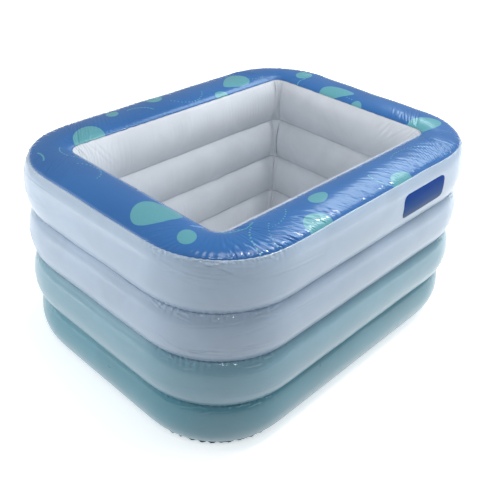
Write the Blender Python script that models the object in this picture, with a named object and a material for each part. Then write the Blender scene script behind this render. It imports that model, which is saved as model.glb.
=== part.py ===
"""Inflatable bathtub with four stacked air rings, welded from flat film.

Metres, +Z up.  The origin is on the floor under the middle of the tub, +X runs
along the long side.  The wall is a stack of four air chambers: an outer skin, an
inner skin and a flat partition web between each pair of chambers, closed on top
by the rim film and below by the base sheet.  The floor inside is a fifth, thin
chamber.  Each chamber has its own push-in valve with a plug and a check flap,
and the floor has a drain with a pull-out stopper.

Films that are welded to each other on the real tub are drawn as separate
sheets that stop just short of one another.
"""

import bpy
import bmesh
from math import cos, sin, pi, radians
from mathutils import Matrix, Vector

# ---------------------------------------------------------------- dimensions
SEAM_LENGTH = 1.256        # along X, over the outer weld seams
SEAM_WIDTH = 0.964         # along Y, over the outer weld seams
CORNER_R = 0.250           # outer corner radius at the seams
WALL = 0.150               # outer seam to inner seam
INNER_CORNER_R = 0.042     # inner corner radius at the seams
SEAM_Z = (0.655, 0.493, 0.334, 0.174, 0.0)   # weld seams, rim to floor
OUT_BULGE = (0.023, 0.028, 0.032, 0.026)     # how far each ring swells outward
IN_BULGE = 0.020           # how far each ring swells into the bath
RIM_CROWN = 0.0175         # how far the rim film swells upward
FOOT_INSET = 0.028         # the lowest ring turns in by this much at the floor
FILM = 0.0004              # film thickness
GAP = 0.0003               # clearance between neighbouring sheets
BASE_T = 0.0005            # base sheet thickness
BASE_FLANGE = 0.006        # weld flange of the base sheet, outside the foot
FLOOR_TOP = 0.040          # height of the inflated floor
CORNER_STEPS = 6

# the chambers' valves, in a column on the far end wall
VALVE_Y = 0.225
VALVE_FLANGE_R = 0.0190
VALVE_TUBE_R = 0.0078
VALVE_BORE_R = 0.0062
VALVE_DEPTH = 0.018
PLUG_R = 0.0059
PLUG_LENGTH = 0.0110
CAP_R = 0.0100
FLAP_R = 0.0072
FLAP_T = 0.0006
FLOOR_VALVE = (0.330, 0.170)

# drain in the floor
DRAIN = (0.300, -0.170)
DRAIN_BORE_R = 0.0125
DRAIN_TUBE_R = 0.0150
DRAIN_FLANGE_R = 0.0260

# bare film patch on the near long side of the top ring
PATCH_X = (0.107, 0.330)
PATCH_Z = (0.541, 0.619)
PATCH_R = 0.020
PATCH_T = 0.0003

HALF_L = SEAM_LENGTH / 2
HALF_W = SEAM_WIDTH / 2
# heights along one ring, as parts of its pitch, with a flat facet in the middle
RING_T = (0.0, 0.05, 0.16, 0.36, 0.64, 0.84, 0.95, 1.0)
INNER_T = (0.0, 0.08, 0.27, 0.73, 0.92, 1.0)
RIM_T = (0.0, 0.05, 0.18, 0.40, 0.60, 0.82, 0.95, 1.0)
SEAM_GAP = 0.0009          # each wall film stops this far from the seam line


# ------------------------------------------------------------------ helpers
def clear_scene():
    for ob in list(bpy.data.objects):
        bpy.data.objects.remove(ob, do_unlink=True)


def make_material(name, colour, roughness=0.25, metallic=0.0):
    mat = bpy.data.materials.new(name)
    mat.use_nodes = True
    shader = mat.node_tree.nodes["Principled BSDF"]
    shader.inputs["Base Color"].default_value = (*colour, 1.0)
    shader.inputs["Roughness"].default_value = roughness
    shader.inputs["Metallic"].default_value = metallic
    mat.diffuse_color = (*colour, 1.0)
    return mat


def add_object(name, bm, mat, angle=40.0):
    bmesh.ops.recalc_face_normals(bm, faces=bm.faces)
    mesh = bpy.data.meshes.new(name)
    bm.to_mesh(mesh)
    bm.free()
    mesh.materials.append(mat)
    mesh.shade_smooth()
    mesh.set_sharp_from_angle(angle=radians(angle))
    ob = bpy.data.objects.new(name, mesh)
    bpy.context.collection.objects.link(ob)
    return ob


def swell(t, height):
    """Shape of an inflated film between two welds, t from 0 to 1."""
    return height * (max(4.0 * t * (1.0 - t), 0.0)) ** 0.65


def rounded_rect(half_l, half_w, radius, steps=CORNER_STEPS):
    """Counter-clockwise outline of a rectangle with round corners."""
    pts = []
    for k, (sx, sy) in enumerate(((1, 1), (-1, 1), (-1, -1), (1, -1))):
        cx, cy = sx * (half_l - radius), sy * (half_w - radius)
        for i in range(steps + 1):
            a = k * pi / 2 + i / steps * pi / 2
            pts.append((cx + radius * cos(a), cy + radius * sin(a)))
    return pts


def outer_outline(offset):
    return rounded_rect(HALF_L + offset, HALF_W + offset, CORNER_R + offset)


def inner_outline(offset):
    """Outline of the bath side of the wall, offset is positive into the bath."""
    return rounded_rect(HALF_L - WALL - offset, HALF_W - WALL - offset,
                        INNER_CORNER_R - offset)


def rim_outline(t):
    """Outline across the rim film, 0 at the outer seam and 1 at the inner one."""
    radius = CORNER_R + (INNER_CORNER_R - CORNER_R) * t
    return rounded_rect(HALF_L - WALL * t, HALF_W - WALL * t, radius)


def loft(bm, rings):
    """Joins closed loops of equally many points, returns the vertex loops."""
    loops = [[bm.verts.new(p) for p in ring] for ring in rings]
    n = len(loops[0])
    for a, b in zip(loops, loops[1:]):
        for i in range(n):
            j = (i + 1) % n
            bm.faces.new((a[i], a[j], b[j], b[i]))
    return loops


def solidify(ob, thickness, offset=0.0):
    mod = ob.modifiers.new("film", "SOLIDIFY")
    mod.thickness = thickness
    mod.offset = offset
    mod.use_even_offset = True
    mod.use_quality_normals = True
    return mod


def cut(ob, cutter):
    mod = ob.modifiers.new("cut_" + cutter.name, "BOOLEAN")
    mod.operation = "DIFFERENCE"
    mod.solver = "EXACT"
    mod.object = cutter
    return mod


def cylinder_cutter(name, radius, depth, matrix, sides=20):
    bm = bmesh.new()
    bmesh.ops.create_cone(bm, cap_ends=True, segments=sides, radius1=radius,
                          radius2=radius, depth=depth)
    mesh = bpy.data.meshes.new(name)
    bm.to_mesh(mesh)
    bm.free()
    ob = bpy.data.objects.new(name, mesh)
    bpy.context.collection.objects.link(ob)
    ob.matrix_world = matrix
    ob.hide_render = True
    ob.display_type = "WIRE"
    return ob


def turned(bm, profile, sides=20):
    """Closed solid of revolution about Z.  A profile that starts and ends on
    the axis closes there, any other profile is closed on itself."""
    closed = profile[0][0] > 0.0
    rings = []
    for r, z in profile:
        if r == 0.0:
            rings.append([bm.verts.new((0.0, 0.0, z))])
        else:
            rings.append([bm.verts.new((r * cos(2 * pi * i / sides),
                                        r * sin(2 * pi * i / sides), z))
                          for i in range(sides)])
    pairs = list(zip(rings, rings[1:]))
    if closed:
        pairs.append((rings[-1], rings[0]))
    for a, b in pairs:
        for i in range(sides):
            j = (i + 1) % sides
            if len(a) == 1:
                bm.faces.new((a[0], b[j], b[i]))
            elif len(b) == 1:
                bm.faces.new((a[i], a[j], b[0]))
            else:
                bm.faces.new((a[i], a[j], b[j], b[i]))


# ------------------------------------------------------------------- films
def wall_outline(ring, t):
    """Outline and height of a ring's outer skin at t, 0 at its upper seam."""
    top, bottom = SEAM_Z[ring], SEAM_Z[ring + 1]
    offset = swell(t, OUT_BULGE[ring])
    if ring == 3:
        offset -= FOOT_INSET * t ** 3
    return outer_outline(offset), top + (bottom - top) * t


def film_span(ring, ts):
    """Keeps the film's two edges clear of the seams."""
    pitch = SEAM_Z[ring] - SEAM_Z[ring + 1]
    low = SEAM_GAP / pitch
    high = 1.0 - (SEAM_GAP if ring < 3 else BASE_T + GAP + 0.0004) / pitch
    return [min(max(t, low), high) for t in ts]


def outer_skin(ring, name, mat):
    bm = bmesh.new()
    rings = []
    for t in film_span(ring, RING_T):
        outline, z = wall_outline(ring, t)
        rings.append([(x, y, z) for x, y in outline])
    loft(bm, rings)
    ob = add_object(name, bm, mat, 60)
    solidify(ob, FILM)
    return ob


def inner_skin(ring, name, mat):
    bm = bmesh.new()
    top, bottom = SEAM_Z[ring], SEAM_Z[ring + 1]
    rings = []
    for t in film_span(ring, INNER_T):
        z = top + (bottom - top) * t
        rings.append([(x, y, z) for x, y in inner_outline(swell(t, IN_BULGE))])
    loft(bm, rings)
    ob = add_object(name, bm, mat, 60)
    solidify(ob, FILM)
    return ob


def rim_film(name, mat):
    bm = bmesh.new()
    rings = []
    edge = 0.0009 / WALL
    for t in RIM_T:
        t = min(max(t, edge), 1.0 - edge)
        z = SEAM_Z[0] + 0.0002 + swell(t, RIM_CROWN)
        rings.append([(x, y, z) for x, y in rim_outline(t)])
    loft(bm, rings)
    ob = add_object(name, bm, mat, 60)
    solidify(ob, FILM)
    return ob


def web(z, name, mat):
    """Flat partition between two chambers."""
    bm = bmesh.new()
    inset = 0.0008
    loft(bm, [[(x, y, z) for x, y in outer_outline(-inset)],
              [(x, y, z) for x, y in inner_outline(-inset)]])
    ob = add_object(name, bm, mat)
    solidify(ob, FILM)
    return ob


def base_sheet(name, mat):
    bm = bmesh.new()
    outline = outer_outline(BASE_FLANGE - FOOT_INSET)
    verts = [bm.verts.new((x, y, BASE_T)) for x, y in outline]
    bm.faces.new(verts)
    ob = add_object(name, bm, mat)
    solidify(ob, BASE_T, -1.0)
    return ob


FLOOR_PROFILE = ((0.006, 0.0014), (0.014, 0.013), (0.023, 0.025),
                 (0.038, 0.035), (0.070, FLOOR_TOP))
WELL_R = 0.050             # hole in the floor film over the drain
WELL_PROFILE = ((WELL_R - 0.0006, FLOOR_TOP), (0.045, 0.0365), (0.041, 0.024),
                (0.038, 0.010), (0.036, 0.0014), (DRAIN_TUBE_R + 0.0006, 0.0014))
WELL_SIDES = 20


def well_loop(radius, z):
    return [(DRAIN[0] + radius * cos(2 * pi * i / WELL_SIDES),
             DRAIN[1] + radius * sin(2 * pi * i / WELL_SIDES), z)
            for i in range(WELL_SIDES)]


def floor_film(name, mat):
    """Upper skin of the inflated floor, with a round hole over the drain."""
    bm = bmesh.new()
    rings = []
    for inset, z in FLOOR_PROFILE:
        radius = max(INNER_CORNER_R - inset, 0.012)
        rings.append([(x, y, z) for x, y in rounded_rect(
            HALF_L - WALL - inset, HALF_W - WALL - inset, radius)])
    field = loft(bm, rings)[-1]
    hole = [bm.verts.new(p) for p in well_loop(WELL_R, FLOOR_TOP)]
    for i, v in enumerate(hole):
        bm.edges.new((v, hole[(i + 1) % len(hole)]))
    edges = []
    for loop in (field, hole):
        for i, v in enumerate(loop):
            edges.append(bm.edges.get((v, loop[(i + 1) % len(loop)])))
    bmesh.ops.triangle_fill(bm, edges=edges, use_beauty=True)
    ob = add_object(name, bm, mat, 60)
    solidify(ob, FILM)
    return ob


def drain_well_sleeve(name, mat):
    """Film sleeve welded into the floor film's hole and down to the base sheet."""
    bm = bmesh.new()
    loft(bm, [well_loop(r, z) for r, z in WELL_PROFILE])
    ob = add_object(name, bm, mat, 60)
    solidify(ob, FILM)
    return ob


def side_patch(name, mat):
    """Rounded film patch that lies on the bulge of the top ring."""
    pitch = SEAM_Z[0] - SEAM_Z[1]
    t_low = (SEAM_Z[0] - PATCH_Z[1]) / pitch
    t_high = (SEAM_Z[0] - PATCH_Z[0]) / pitch
    breaks = [t for t in film_span(0, RING_T)]
    rows = sorted({t_low, t_high, t_low + 0.03, t_low + 0.08, t_high - 0.03,
                   t_high - 0.08, *[t for t in breaks if t_low < t < t_high]})

    def facet_offset(t):
        for a, b in zip(breaks, breaks[1:]):
            if a <= t <= b:
                k = (t - a) / (b - a)
                return (1 - k) * swell(a, OUT_BULGE[0]) + k * swell(b, OUT_BULGE[0])
        return 0.0

    bm = bmesh.new()
    lift = FILM / 2 + GAP + PATCH_T / 2 + 0.0001
    grid = []
    for t in rows:
        edge = min(t - t_low, t_high - t) * pitch
        inset = 0.0
        if edge < PATCH_R:
            inset = PATCH_R - (max(PATCH_R ** 2 - (PATCH_R - edge) ** 2, 0.0)) ** 0.5
        x0, x1 = PATCH_X[0] + inset, PATCH_X[1] - inset
        y = -(HALF_W + facet_offset(t) + lift)
        z = SEAM_Z[0] - pitch * t
        grid.append([bm.verts.new((x0 + (x1 - x0) * k, y, z)) for k in (0, 0.5, 1)])
    for a, b in zip(grid, grid[1:]):
        for i in range(2):
            bm.faces.new((a[i], a[i + 1], b[i + 1], b[i]))
    ob = add_object(name, bm, mat)
    solidify(ob, PATCH_T)
    return ob


# ------------------------------------------------------------------ valves
def valve(prefix, place, film, mats):
    """Push-in valve at a matrix whose +Z points out of the chamber and whose
    origin lies on the film's outer face.  Returns nothing, cuts the film."""
    sides = 16
    cutter = cylinder_cutter(prefix + "_hole", VALVE_TUBE_R + 0.0005, 0.02, place)
    cut(film, cutter)

    bm = bmesh.new()
    turned(bm, ((VALVE_FLANGE_R, 0.0003), (VALVE_FLANGE_R, 0.0009),
                (0.0095, 0.0015), (0.0088, 0.0028), (VALVE_BORE_R, 0.0028),
                (VALVE_BORE_R, -VALVE_DEPTH), (VALVE_TUBE_R, -VALVE_DEPTH),
                (VALVE_TUBE_R, 0.0003)), sides)
    body = add_object(prefix + "_valve_body", bm, mats["clear"])
    body.matrix_world = place

    # plug with its head, pull tab and tether in one moulding
    bm = bmesh.new()
    turned(bm, ((0.0, -PLUG_LENGTH), (PLUG_R - 0.0008, -PLUG_LENGTH),
                (PLUG_R, -PLUG_LENGTH + 0.002), (PLUG_R, 0.0031), (CAP_R, 0.0031),
                (CAP_R, 0.0044), (CAP_R - 0.0008, 0.0050), (0.0, 0.0050)), sides)
    cap = add_object(prefix + "_valve_plug", bm, mats["plug"])
    cap.matrix_world = place
    bm = bmesh.new()
    outline = []
    for i in range(9):
        a = -pi / 2 + pi * i / 8
        outline.append((0.0150 + 0.0035 * cos(a), 0.0035 * sin(a)))
    outline += [(0.004, 0.0035), (0.004, -0.0035)]
    verts = [bm.verts.new((x, y, 0.0033)) for x, y in outline]
    face = bm.faces.new(verts)
    top = bmesh.ops.extrude_face_region(bm, geom=[face])["geom"]
    bmesh.ops.translate(bm, vec=(0, 0, 0.0010),
                        verts=[g for g in top if isinstance(g, bmesh.types.BMVert)])
    tab = add_object(prefix + "_tab_form", bm, mats["plug"])
    tab.matrix_world = place
    tab.hide_render = True
    tab.display_type = "WIRE"
    join = cap.modifiers.new("tab", "BOOLEAN")
    join.operation = "UNION"
    join.solver = "EXACT"
    join.object = tab

    # check flap, hung from its edge just behind the tube
    bm = bmesh.new()
    hinge_y = FLAP_R
    turned(bm, ((0.0, -FLAP_T), (FLAP_R, -FLAP_T), (FLAP_R, 0.0), (0.0, 0.0)), 12)
    bmesh.ops.translate(bm, vec=(0, -hinge_y, 0), verts=bm.verts)
    flap = add_object(prefix + "_check_flap", bm, mats["flap"])
    flap.matrix_world = place @ Matrix.Translation((0, hinge_y, -VALVE_DEPTH - GAP))


def drain(mats, base, film):
    place = Matrix.Translation((DRAIN[0], DRAIN[1], 0.0))
    cutter = cylinder_cutter("drain_hole", DRAIN_TUBE_R + 0.0005, 0.004, place, 24)
    cut(base, cutter)
    bm = bmesh.new()
    turned(bm, ((DRAIN_TUBE_R, 0.0003), (DRAIN_TUBE_R, 0.0022),
                (DRAIN_FLANGE_R, 0.0022), (DRAIN_FLANGE_R, 0.0034),
                (DRAIN_TUBE_R + 0.001, 0.0046), (DRAIN_BORE_R, 0.0046),
                (DRAIN_BORE_R, 0.0003)), 20)
    body = add_object("drain_body", bm, mats["drain"])
    body.matrix_world = place
    bm = bmesh.new()
    turned(bm, ((0.0, 0.0010), (DRAIN_BORE_R - 0.0004, 0.0010),
                (DRAIN_BORE_R - 0.0004, 0.0050), (0.0185, 0.0050),
                (0.0185, 0.0066), (0.0052, 0.0076), (0.0044, 0.0130),
                (0.0072, 0.0146), (0.0072, 0.0168), (0.0, 0.0176)), 20)
    plug = add_object("drain_stopper", bm, mats["plug"])
    plug.matrix_world = place


# -------------------------------------------------------------------- build
def main():
    clear_scene()
    mats = {
        "rim": make_material("rim_film_blue", (0.09, 0.22, 0.55), 0.22),
        "white": make_material("skin_white", (0.62, 0.72, 0.82), 0.28),
        "aqua": make_material("skin_aqua", (0.38, 0.60, 0.68), 0.28),
        "teal": make_material("skin_teal", (0.20, 0.42, 0.48), 0.28),
        "liner": make_material("liner_grey", (0.60, 0.62, 0.63), 0.35),
        "web": make_material("web_film", (0.75, 0.80, 0.82), 0.30),
        "base": make_material("base_sheet", (0.20, 0.42, 0.48), 0.40),
        "patch": make_material("patch_blue", (0.04, 0.12, 0.40), 0.25),
        "clear": make_material("valve_vinyl", (0.80, 0.86, 0.88), 0.20),
        "plug": make_material("plug_vinyl", (0.85, 0.88, 0.90), 0.30),
        "flap": make_material("flap_vinyl", (0.75, 0.80, 0.84), 0.30),
        "drain": make_material("drain_vinyl", (0.85, 0.88, 0.90), 0.30),
    }

    rim_film("rim_film", mats["rim"])
    skins = []
    for ring, key in enumerate(("white", "white", "aqua", "teal")):
        skins.append(outer_skin(ring, "ring_%d_outer_skin" % (ring + 1), mats[key]))
        inner_skin(ring, "ring_%d_inner_skin" % (ring + 1), mats["liner"])
    for k in (1, 2, 3):
        web(SEAM_Z[k], "partition_web_%d" % k, mats["web"])
    base = base_sheet("base_sheet", mats["base"])
    floor = floor_film("floor_film", mats["liner"])
    drain_well_sleeve("drain_well_sleeve", mats["liner"])
    side_patch("side_patch", mats["patch"])

    # one valve for each ring, in a column on the far end wall
    for ring in range(4):
        top, bottom = SEAM_Z[ring], SEAM_Z[ring + 1]
        t = RING_T[3]
        offset = swell(t, OUT_BULGE[ring])
        if ring == 3:
            # the lowest ring's middle facet leans in a little towards the foot
            t2 = RING_T[4]
            a = swell(t, OUT_BULGE[3]) - FOOT_INSET * t ** 3
            b = swell(t2, OUT_BULGE[3]) - FOOT_INSET * t2 ** 3
            rise = (top - bottom) * (t2 - t)
            lean = (a - b) / rise
            middle = (a + b) / 2
        else:
            lean, middle = 0.0, offset
        normal = Vector((1.0, 0.0, -lean)).normalized()
        up = Vector((0.0, 0.0, 1.0))
        up = (up - normal * up.dot(normal)).normalized()
        side = up.cross(normal)
        origin = Vector((HALF_L + middle, VALVE_Y, (top + bottom) / 2))
        origin += normal * FILM / 2
        place = Matrix((
            (side.x, up.x, normal.x, origin.x),
            (side.y, up.y, normal.y, origin.y),
            (side.z, up.z, normal.z, origin.z),
            (0.0, 0.0, 0.0, 1.0)))
        valve("ring_%d" % (ring + 1), place, skins[ring], mats)

    # the floor chamber's valve stands on the floor film
    place = Matrix.Translation((FLOOR_VALVE[0], FLOOR_VALVE[1], FLOOR_TOP + FILM / 2))
    valve("floor", place, floor, mats)
    drain(mats, base, floor)
    bpy.context.view_layer.update()


main()
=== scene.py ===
"""Looks of the inflatable bathtub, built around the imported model.

The films of the real tub are flat-cut vinyl.  Each one is made here as a fine
grid between its two welds, with more length along the welds than the inflated
shape can take up, and a small film simulation lets that spare length buckle
under the air pressure.  It shows as puckers along the welds, upright folds in
the corners of the bath, radial wrinkles on the rim and creases round the spot
welds of the floor.
"""

import math

import bmesh
import bpy
import numpy as np
from mathutils import Matrix, Vector


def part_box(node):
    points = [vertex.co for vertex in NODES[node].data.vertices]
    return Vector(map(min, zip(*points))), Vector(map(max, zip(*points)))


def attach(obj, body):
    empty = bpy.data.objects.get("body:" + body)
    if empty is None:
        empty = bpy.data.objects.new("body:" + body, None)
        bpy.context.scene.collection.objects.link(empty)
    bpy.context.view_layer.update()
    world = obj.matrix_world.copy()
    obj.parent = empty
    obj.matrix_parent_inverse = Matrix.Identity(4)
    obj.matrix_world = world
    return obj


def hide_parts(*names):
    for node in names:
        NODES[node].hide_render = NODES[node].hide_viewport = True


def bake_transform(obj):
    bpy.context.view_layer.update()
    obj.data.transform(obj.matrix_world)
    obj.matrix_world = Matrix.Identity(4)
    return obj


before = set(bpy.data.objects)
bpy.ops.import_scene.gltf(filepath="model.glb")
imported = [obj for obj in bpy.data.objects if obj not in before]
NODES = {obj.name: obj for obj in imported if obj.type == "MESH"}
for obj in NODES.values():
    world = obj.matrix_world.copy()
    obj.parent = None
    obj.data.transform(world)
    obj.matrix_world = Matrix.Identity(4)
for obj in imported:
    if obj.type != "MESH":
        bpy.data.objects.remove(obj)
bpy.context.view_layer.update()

# ------------------------------------------------------------ dimensions (m)
HALF_L, HALF_W, CORNER_R = 0.628, 0.482, 0.250
WALL, INNER_R = 0.150, 0.042
SEAM_Z = (0.655, 0.493, 0.334, 0.174, 0.0)
OUT_BULGE = (0.023, 0.028, 0.032, 0.026)
IN_BULGE = 0.020
RIM_CROWN = 0.0175
FOOT_INSET = 0.028
BASE_T = 0.0005
FLOOR_TOP = 0.040
DRAIN = (0.300, -0.170)
WELL_R = 0.050
FLOOR_VALVE = (0.330, 0.170)
VALVE_Y = 0.225
FLANGE_R = 0.019
PATCH_X, PATCH_Z, PATCH_R = (0.107, 0.330), (0.541, 0.619), 0.020


def swell(t, height):
    return height * np.maximum(4.0 * t * (1.0 - t), 0.0) ** 0.65


# ------------------------------------------------------------------- camera
def add_camera():
    right = Vector((0.69285628, -0.71989949, 0.04116918))
    up = Vector((0.37408857, 0.40767199, 0.83298337))
    back = -Vector((0.61644782, 0.56173684, -0.55176427))
    cam = bpy.data.cameras.new("camera")
    cam.lens = 50.43
    cam.sensor_width = 36.0
    cam.clip_start, cam.clip_end = 0.05, 50.0
    ob = bpy.data.objects.new("camera", cam)
    bpy.context.scene.collection.objects.link(ob)
    m = Matrix.Identity(4)
    for i, axis in enumerate((right, up, back)):
        for j in range(3):
            m[j][i] = axis[j]
    m.translation = (-1.5144, -1.3813, 1.5927)
    ob.matrix_world = m
    bpy.context.scene.camera = ob


# ------------------------------------------------------- lights and the floor
def area_light(name, place, target, size, power, colour=(1, 1, 1)):
    light = bpy.data.lights.new(name, "AREA")
    light.shape = "RECTANGLE"
    light.size, light.size_y = size
    light.energy = power
    light.color = colour
    ob = bpy.data.objects.new(name, light)
    bpy.context.scene.collection.objects.link(ob)
    ob.location = place
    ob.rotation_euler = (Vector(target) - Vector(place)).to_track_quat("-Z", "Y").to_euler()
    return ob


def add_studio():
    scene = bpy.context.scene
    scene.view_settings.view_transform = "Standard"
    scene.view_settings.look = "None"
    world = bpy.data.worlds.new("studio")
    scene.world = world
    world.use_nodes = True
    bg = world.node_tree.nodes["Background"]
    bg.inputs["Color"].default_value = (0.90, 0.95, 1.0, 1.0)
    # a little more light comes from below, as off a studio floor
    tree = world.node_tree
    coords = tree.nodes.new("ShaderNodeTexCoord")
    split = tree.nodes.new("ShaderNodeSeparateXYZ")
    tree.links.new(coords.outputs["Generated"], split.inputs[0])
    level = tree.nodes.new("ShaderNodeMapRange")
    for key, x in (("From Min", -0.20), ("From Max", 0.05), ("To Min", 0.60), ("To Max", 0.31)):
        level.inputs[key].default_value = x
    tree.links.new(split.outputs[2], level.inputs["Value"])
    tree.links.new(level.outputs["Result"], bg.inputs["Strength"])
    fill = area_light("right_back", (3.6, -0.9, 2.0), (0.2, -0.3, 0.3), (3.0, 3.0), 70)
    fill.visible_glossy = False
    fill = area_light("right_low", (2.4, -2.9, 0.7), (0.1, -0.4, 0.3), (1.8, 1.4), 31)
    fill.visible_glossy = False
    fill = area_light("left_low", (-3.0, 2.2, 0.65), (-0.5, 0.1, 0.4), (2.0, 1.2), 60)
    fill.visible_glossy = False
    area_light("left_high", (-2.6, 2.6, 1.9), (-0.5, 0.2, 0.3), (2.4, 2.4), 17)
    area_light("top_long", (0.9, -0.9, 2.9), (-0.2, -0.4, 0.6), (0.4, 0.4), 20)
    area_light("top_short", (-0.3, -0.6, 3.0), (0, 0.1, 0.4), (1.0, 1.0), 10)
    area_light("glint", (-1.5, -1.4, 2.9), (-0.45, -0.35, 0.5), (0.32, 0.32), 10)
    area_light("sheen", (2.2, 0.25, 2.7), (0.1, -0.3, 0.6), (1.6, 1.6), 26, (0.78, 0.94, 1.0))
    mesh = bpy.data.meshes.new("studio_floor")
    mesh.from_pydata([(-14, -14, -0.0005), (14, -14, -0.0005), (14, 14, -0.0005), (-14, 14, -0.0005)],
                     [], [(0, 1, 2, 3)])
    floor = bpy.data.objects.new("studio_floor", mesh)
    scene.collection.objects.link(floor)
    mat = bpy.data.materials.new("studio_floor")
    mat.use_nodes = True
    p = mat.node_tree.nodes["Principled BSDF"]
    p.inputs["Base Color"].default_value = (0.95, 0.95, 0.95, 1)
    p.inputs["Roughness"].default_value = 0.9
    p.inputs["Specular IOR Level"].default_value = 0.1
    p.inputs["Emission Color"].default_value = (1, 1, 1, 1)
    # painted light: the floor glows by emission, brighter with distance, standing in for a sweep behind the tub lit
    # on its own
    tree = mat.node_tree
    coords = tree.nodes.new("ShaderNodeTexCoord")
    length = tree.nodes.new("ShaderNodeVectorMath")
    length.operation = "DISTANCE"
    length.inputs[1].default_value = (-1.3, -1.2, 0.0)
    tree.links.new(coords.outputs["Object"], length.inputs[0])
    far = tree.nodes.new("ShaderNodeMapRange")
    far.interpolation_type = "SMOOTHSTEP"
    for key, x in (("From Min", 1.7), ("From Max", 4.2), ("To Min", 0.50), ("To Max", 0.74)):
        far.inputs[key].default_value = x
    tree.links.new(length.outputs["Value"], far.inputs["Value"])
    tree.links.new(far.outputs["Result"], p.inputs["Emission Strength"])
    mesh.materials.append(mat)
    floor.visible_diffuse = False


# ---------------------------------------------------------------- materials
class Nodes:
    """Small helper to wire a material."""

    def __init__(self, name):
        self.mat = bpy.data.materials.new(name)
        self.mat.use_nodes = True
        self.tree = self.mat.node_tree
        self.shader = self.tree.nodes["Principled BSDF"]
        self.coords = self.tree.nodes.new("ShaderNodeTexCoord").outputs["Object"]

    def new(self, kind, **values):
        node = self.tree.nodes.new(kind)
        for k, v in values.items():
            setattr(node, k, v)
        return node

    def link(self, a, b):
        self.tree.links.new(a, b)

    def value(self, socket, v):
        if isinstance(v, bpy.types.NodeSocket):
            self.link(v, socket)
        else:
            socket.default_value = v

    def math(self, op, a, b=0.0, c=0.0, clamp=False):
        node = self.new("ShaderNodeMath", operation=op, use_clamp=clamp)
        self.value(node.inputs[0], a)
        self.value(node.inputs[1], b)
        self.value(node.inputs[2], c)
        return node.outputs[0]

    def ramp(self, v, low, high):
        """0 below low, 1 above high, smooth between."""
        node = self.new("ShaderNodeMapRange", interpolation_type="SMOOTHSTEP")
        self.value(node.inputs["Value"], v)
        node.inputs["From Min"].default_value = low
        node.inputs["From Max"].default_value = high
        return node.outputs["Result"]

    def map(self, v, a, b, c, d):
        node = self.new("ShaderNodeMapRange")
        self.value(node.inputs["Value"], v)
        for key, x in zip(("From Min", "From Max", "To Min", "To Max"), (a, b, c, d)):
            node.inputs[key].default_value = x
        return node.outputs["Result"]

    def local(self, place, angle=0.0, scale=(1, 1, 1)):
        """Coordinates measured from a place, turned and in units of scale."""
        node = self.new("ShaderNodeMapping", vector_type="TEXTURE")
        self.link(self.coords, node.inputs["Vector"])
        node.inputs["Location"].default_value = place
        node.inputs["Rotation"].default_value = (0, 0, angle)
        node.inputs["Scale"].default_value = scale
        sep = self.new("ShaderNodeSeparateXYZ")
        self.link(node.outputs["Vector"], sep.inputs[0])
        return sep.outputs

    def noise(self, scale, detail=3.0, rough=0.5, stretch=None, distortion=0.0, offset=(0, 0, 0)):
        vec = self.coords
        if stretch is not None or any(offset):
            m = self.new("ShaderNodeMapping")
            self.link(self.coords, m.inputs["Vector"])
            m.inputs["Scale"].default_value = stretch or (1, 1, 1)
            m.inputs["Location"].default_value = offset
            vec = m.outputs["Vector"]
        n = self.new("ShaderNodeTexNoise")
        self.link(vec, n.inputs["Vector"])
        n.inputs["Scale"].default_value = scale
        n.inputs["Detail"].default_value = detail
        n.inputs["Roughness"].default_value = rough
        n.inputs["Distortion"].default_value = distortion
        return n.outputs["Fac"]

    def mix(self, fac, a, b, blend="MIX"):
        node = self.new("ShaderNodeMix", data_type="RGBA", blend_type=blend)
        colours = [s for s in node.inputs if s.type == "RGBA"]
        factor = next(s for s in node.inputs if s.type == "VALUE")
        self.value(factor, fac)
        self.value(colours[0], a if isinstance(a, bpy.types.NodeSocket) else (*a, 1.0))
        self.value(colours[1], b if isinstance(b, bpy.types.NodeSocket) else (*b, 1.0))
        return next(s for s in node.outputs if s.type == "RGBA")

    def bump(self, height, strength, distance, normal=None):
        node = self.new("ShaderNodeBump")
        self.link(height, node.inputs["Height"])
        node.inputs["Strength"].default_value = strength
        node.inputs["Distance"].default_value = distance
        if normal is not None:
            self.link(normal, node.inputs["Normal"])
        return node.outputs["Normal"]

    def finish(self, colour=None, rough=None, normal=None):
        s = self.shader
        if colour is not None:
            self.value(s.inputs["Base Color"], colour if isinstance(colour, bpy.types.NodeSocket) else (*colour, 1.0))
        if rough is not None:
            self.value(s.inputs["Roughness"], rough)
        if normal is not None:
            self.link(normal, s.inputs["Normal"])
        return self.mat


def srgb(r, g, b):
    return tuple(((c / 255.0) / 12.92) if c <= 10 else (((c / 255.0 + 0.055) / 1.055) ** 2.4) for c in (r, g, b))


def film_base(n, colour, rough, waves, fine, coat, tint=0.03):
    """Shared look of the vinyl film: slow tint changes, uneven gloss, skin texture."""
    big = n.noise(6.0, 3.0, 0.55, distortion=0.6)
    mid = n.noise(34.0, 4.0, 0.55, distortion=0.4, offset=(3, 1, 2))
    small = n.noise(520.0, 2.0, 0.6)
    if not isinstance(colour, bpy.types.NodeSocket):
        dark = tuple(c * (1 - 2 * tint) for c in colour)
        light = tuple(min(c * (1 + tint), 1.0) for c in colour)
        colour = n.mix(n.ramp(big, 0.3, 0.7), dark, light)
    r = n.map(n.math("ADD", n.math("MULTIPLY", big, 0.6), n.math("MULTIPLY", mid, 0.4)), 0.3, 0.7, *rough)
    nrm = n.bump(mid, waves, 0.0016)
    nrm = n.bump(small, fine, 0.0004, nrm)
    n.shader.inputs["Coat Weight"].default_value = coat
    n.shader.inputs["Coat Roughness"].default_value = 0.08
    n.shader.inputs["IOR"].default_value = 1.52
    return colour, r, nrm


def vinyl(name, colour, rough=(0.27, 0.35), waves=0.05, tint=0.03, fine=0.04, coat=0.40):
    n = Nodes(name)
    return n.finish(*film_base(n, colour, rough, waves, fine, coat, tint))


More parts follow.
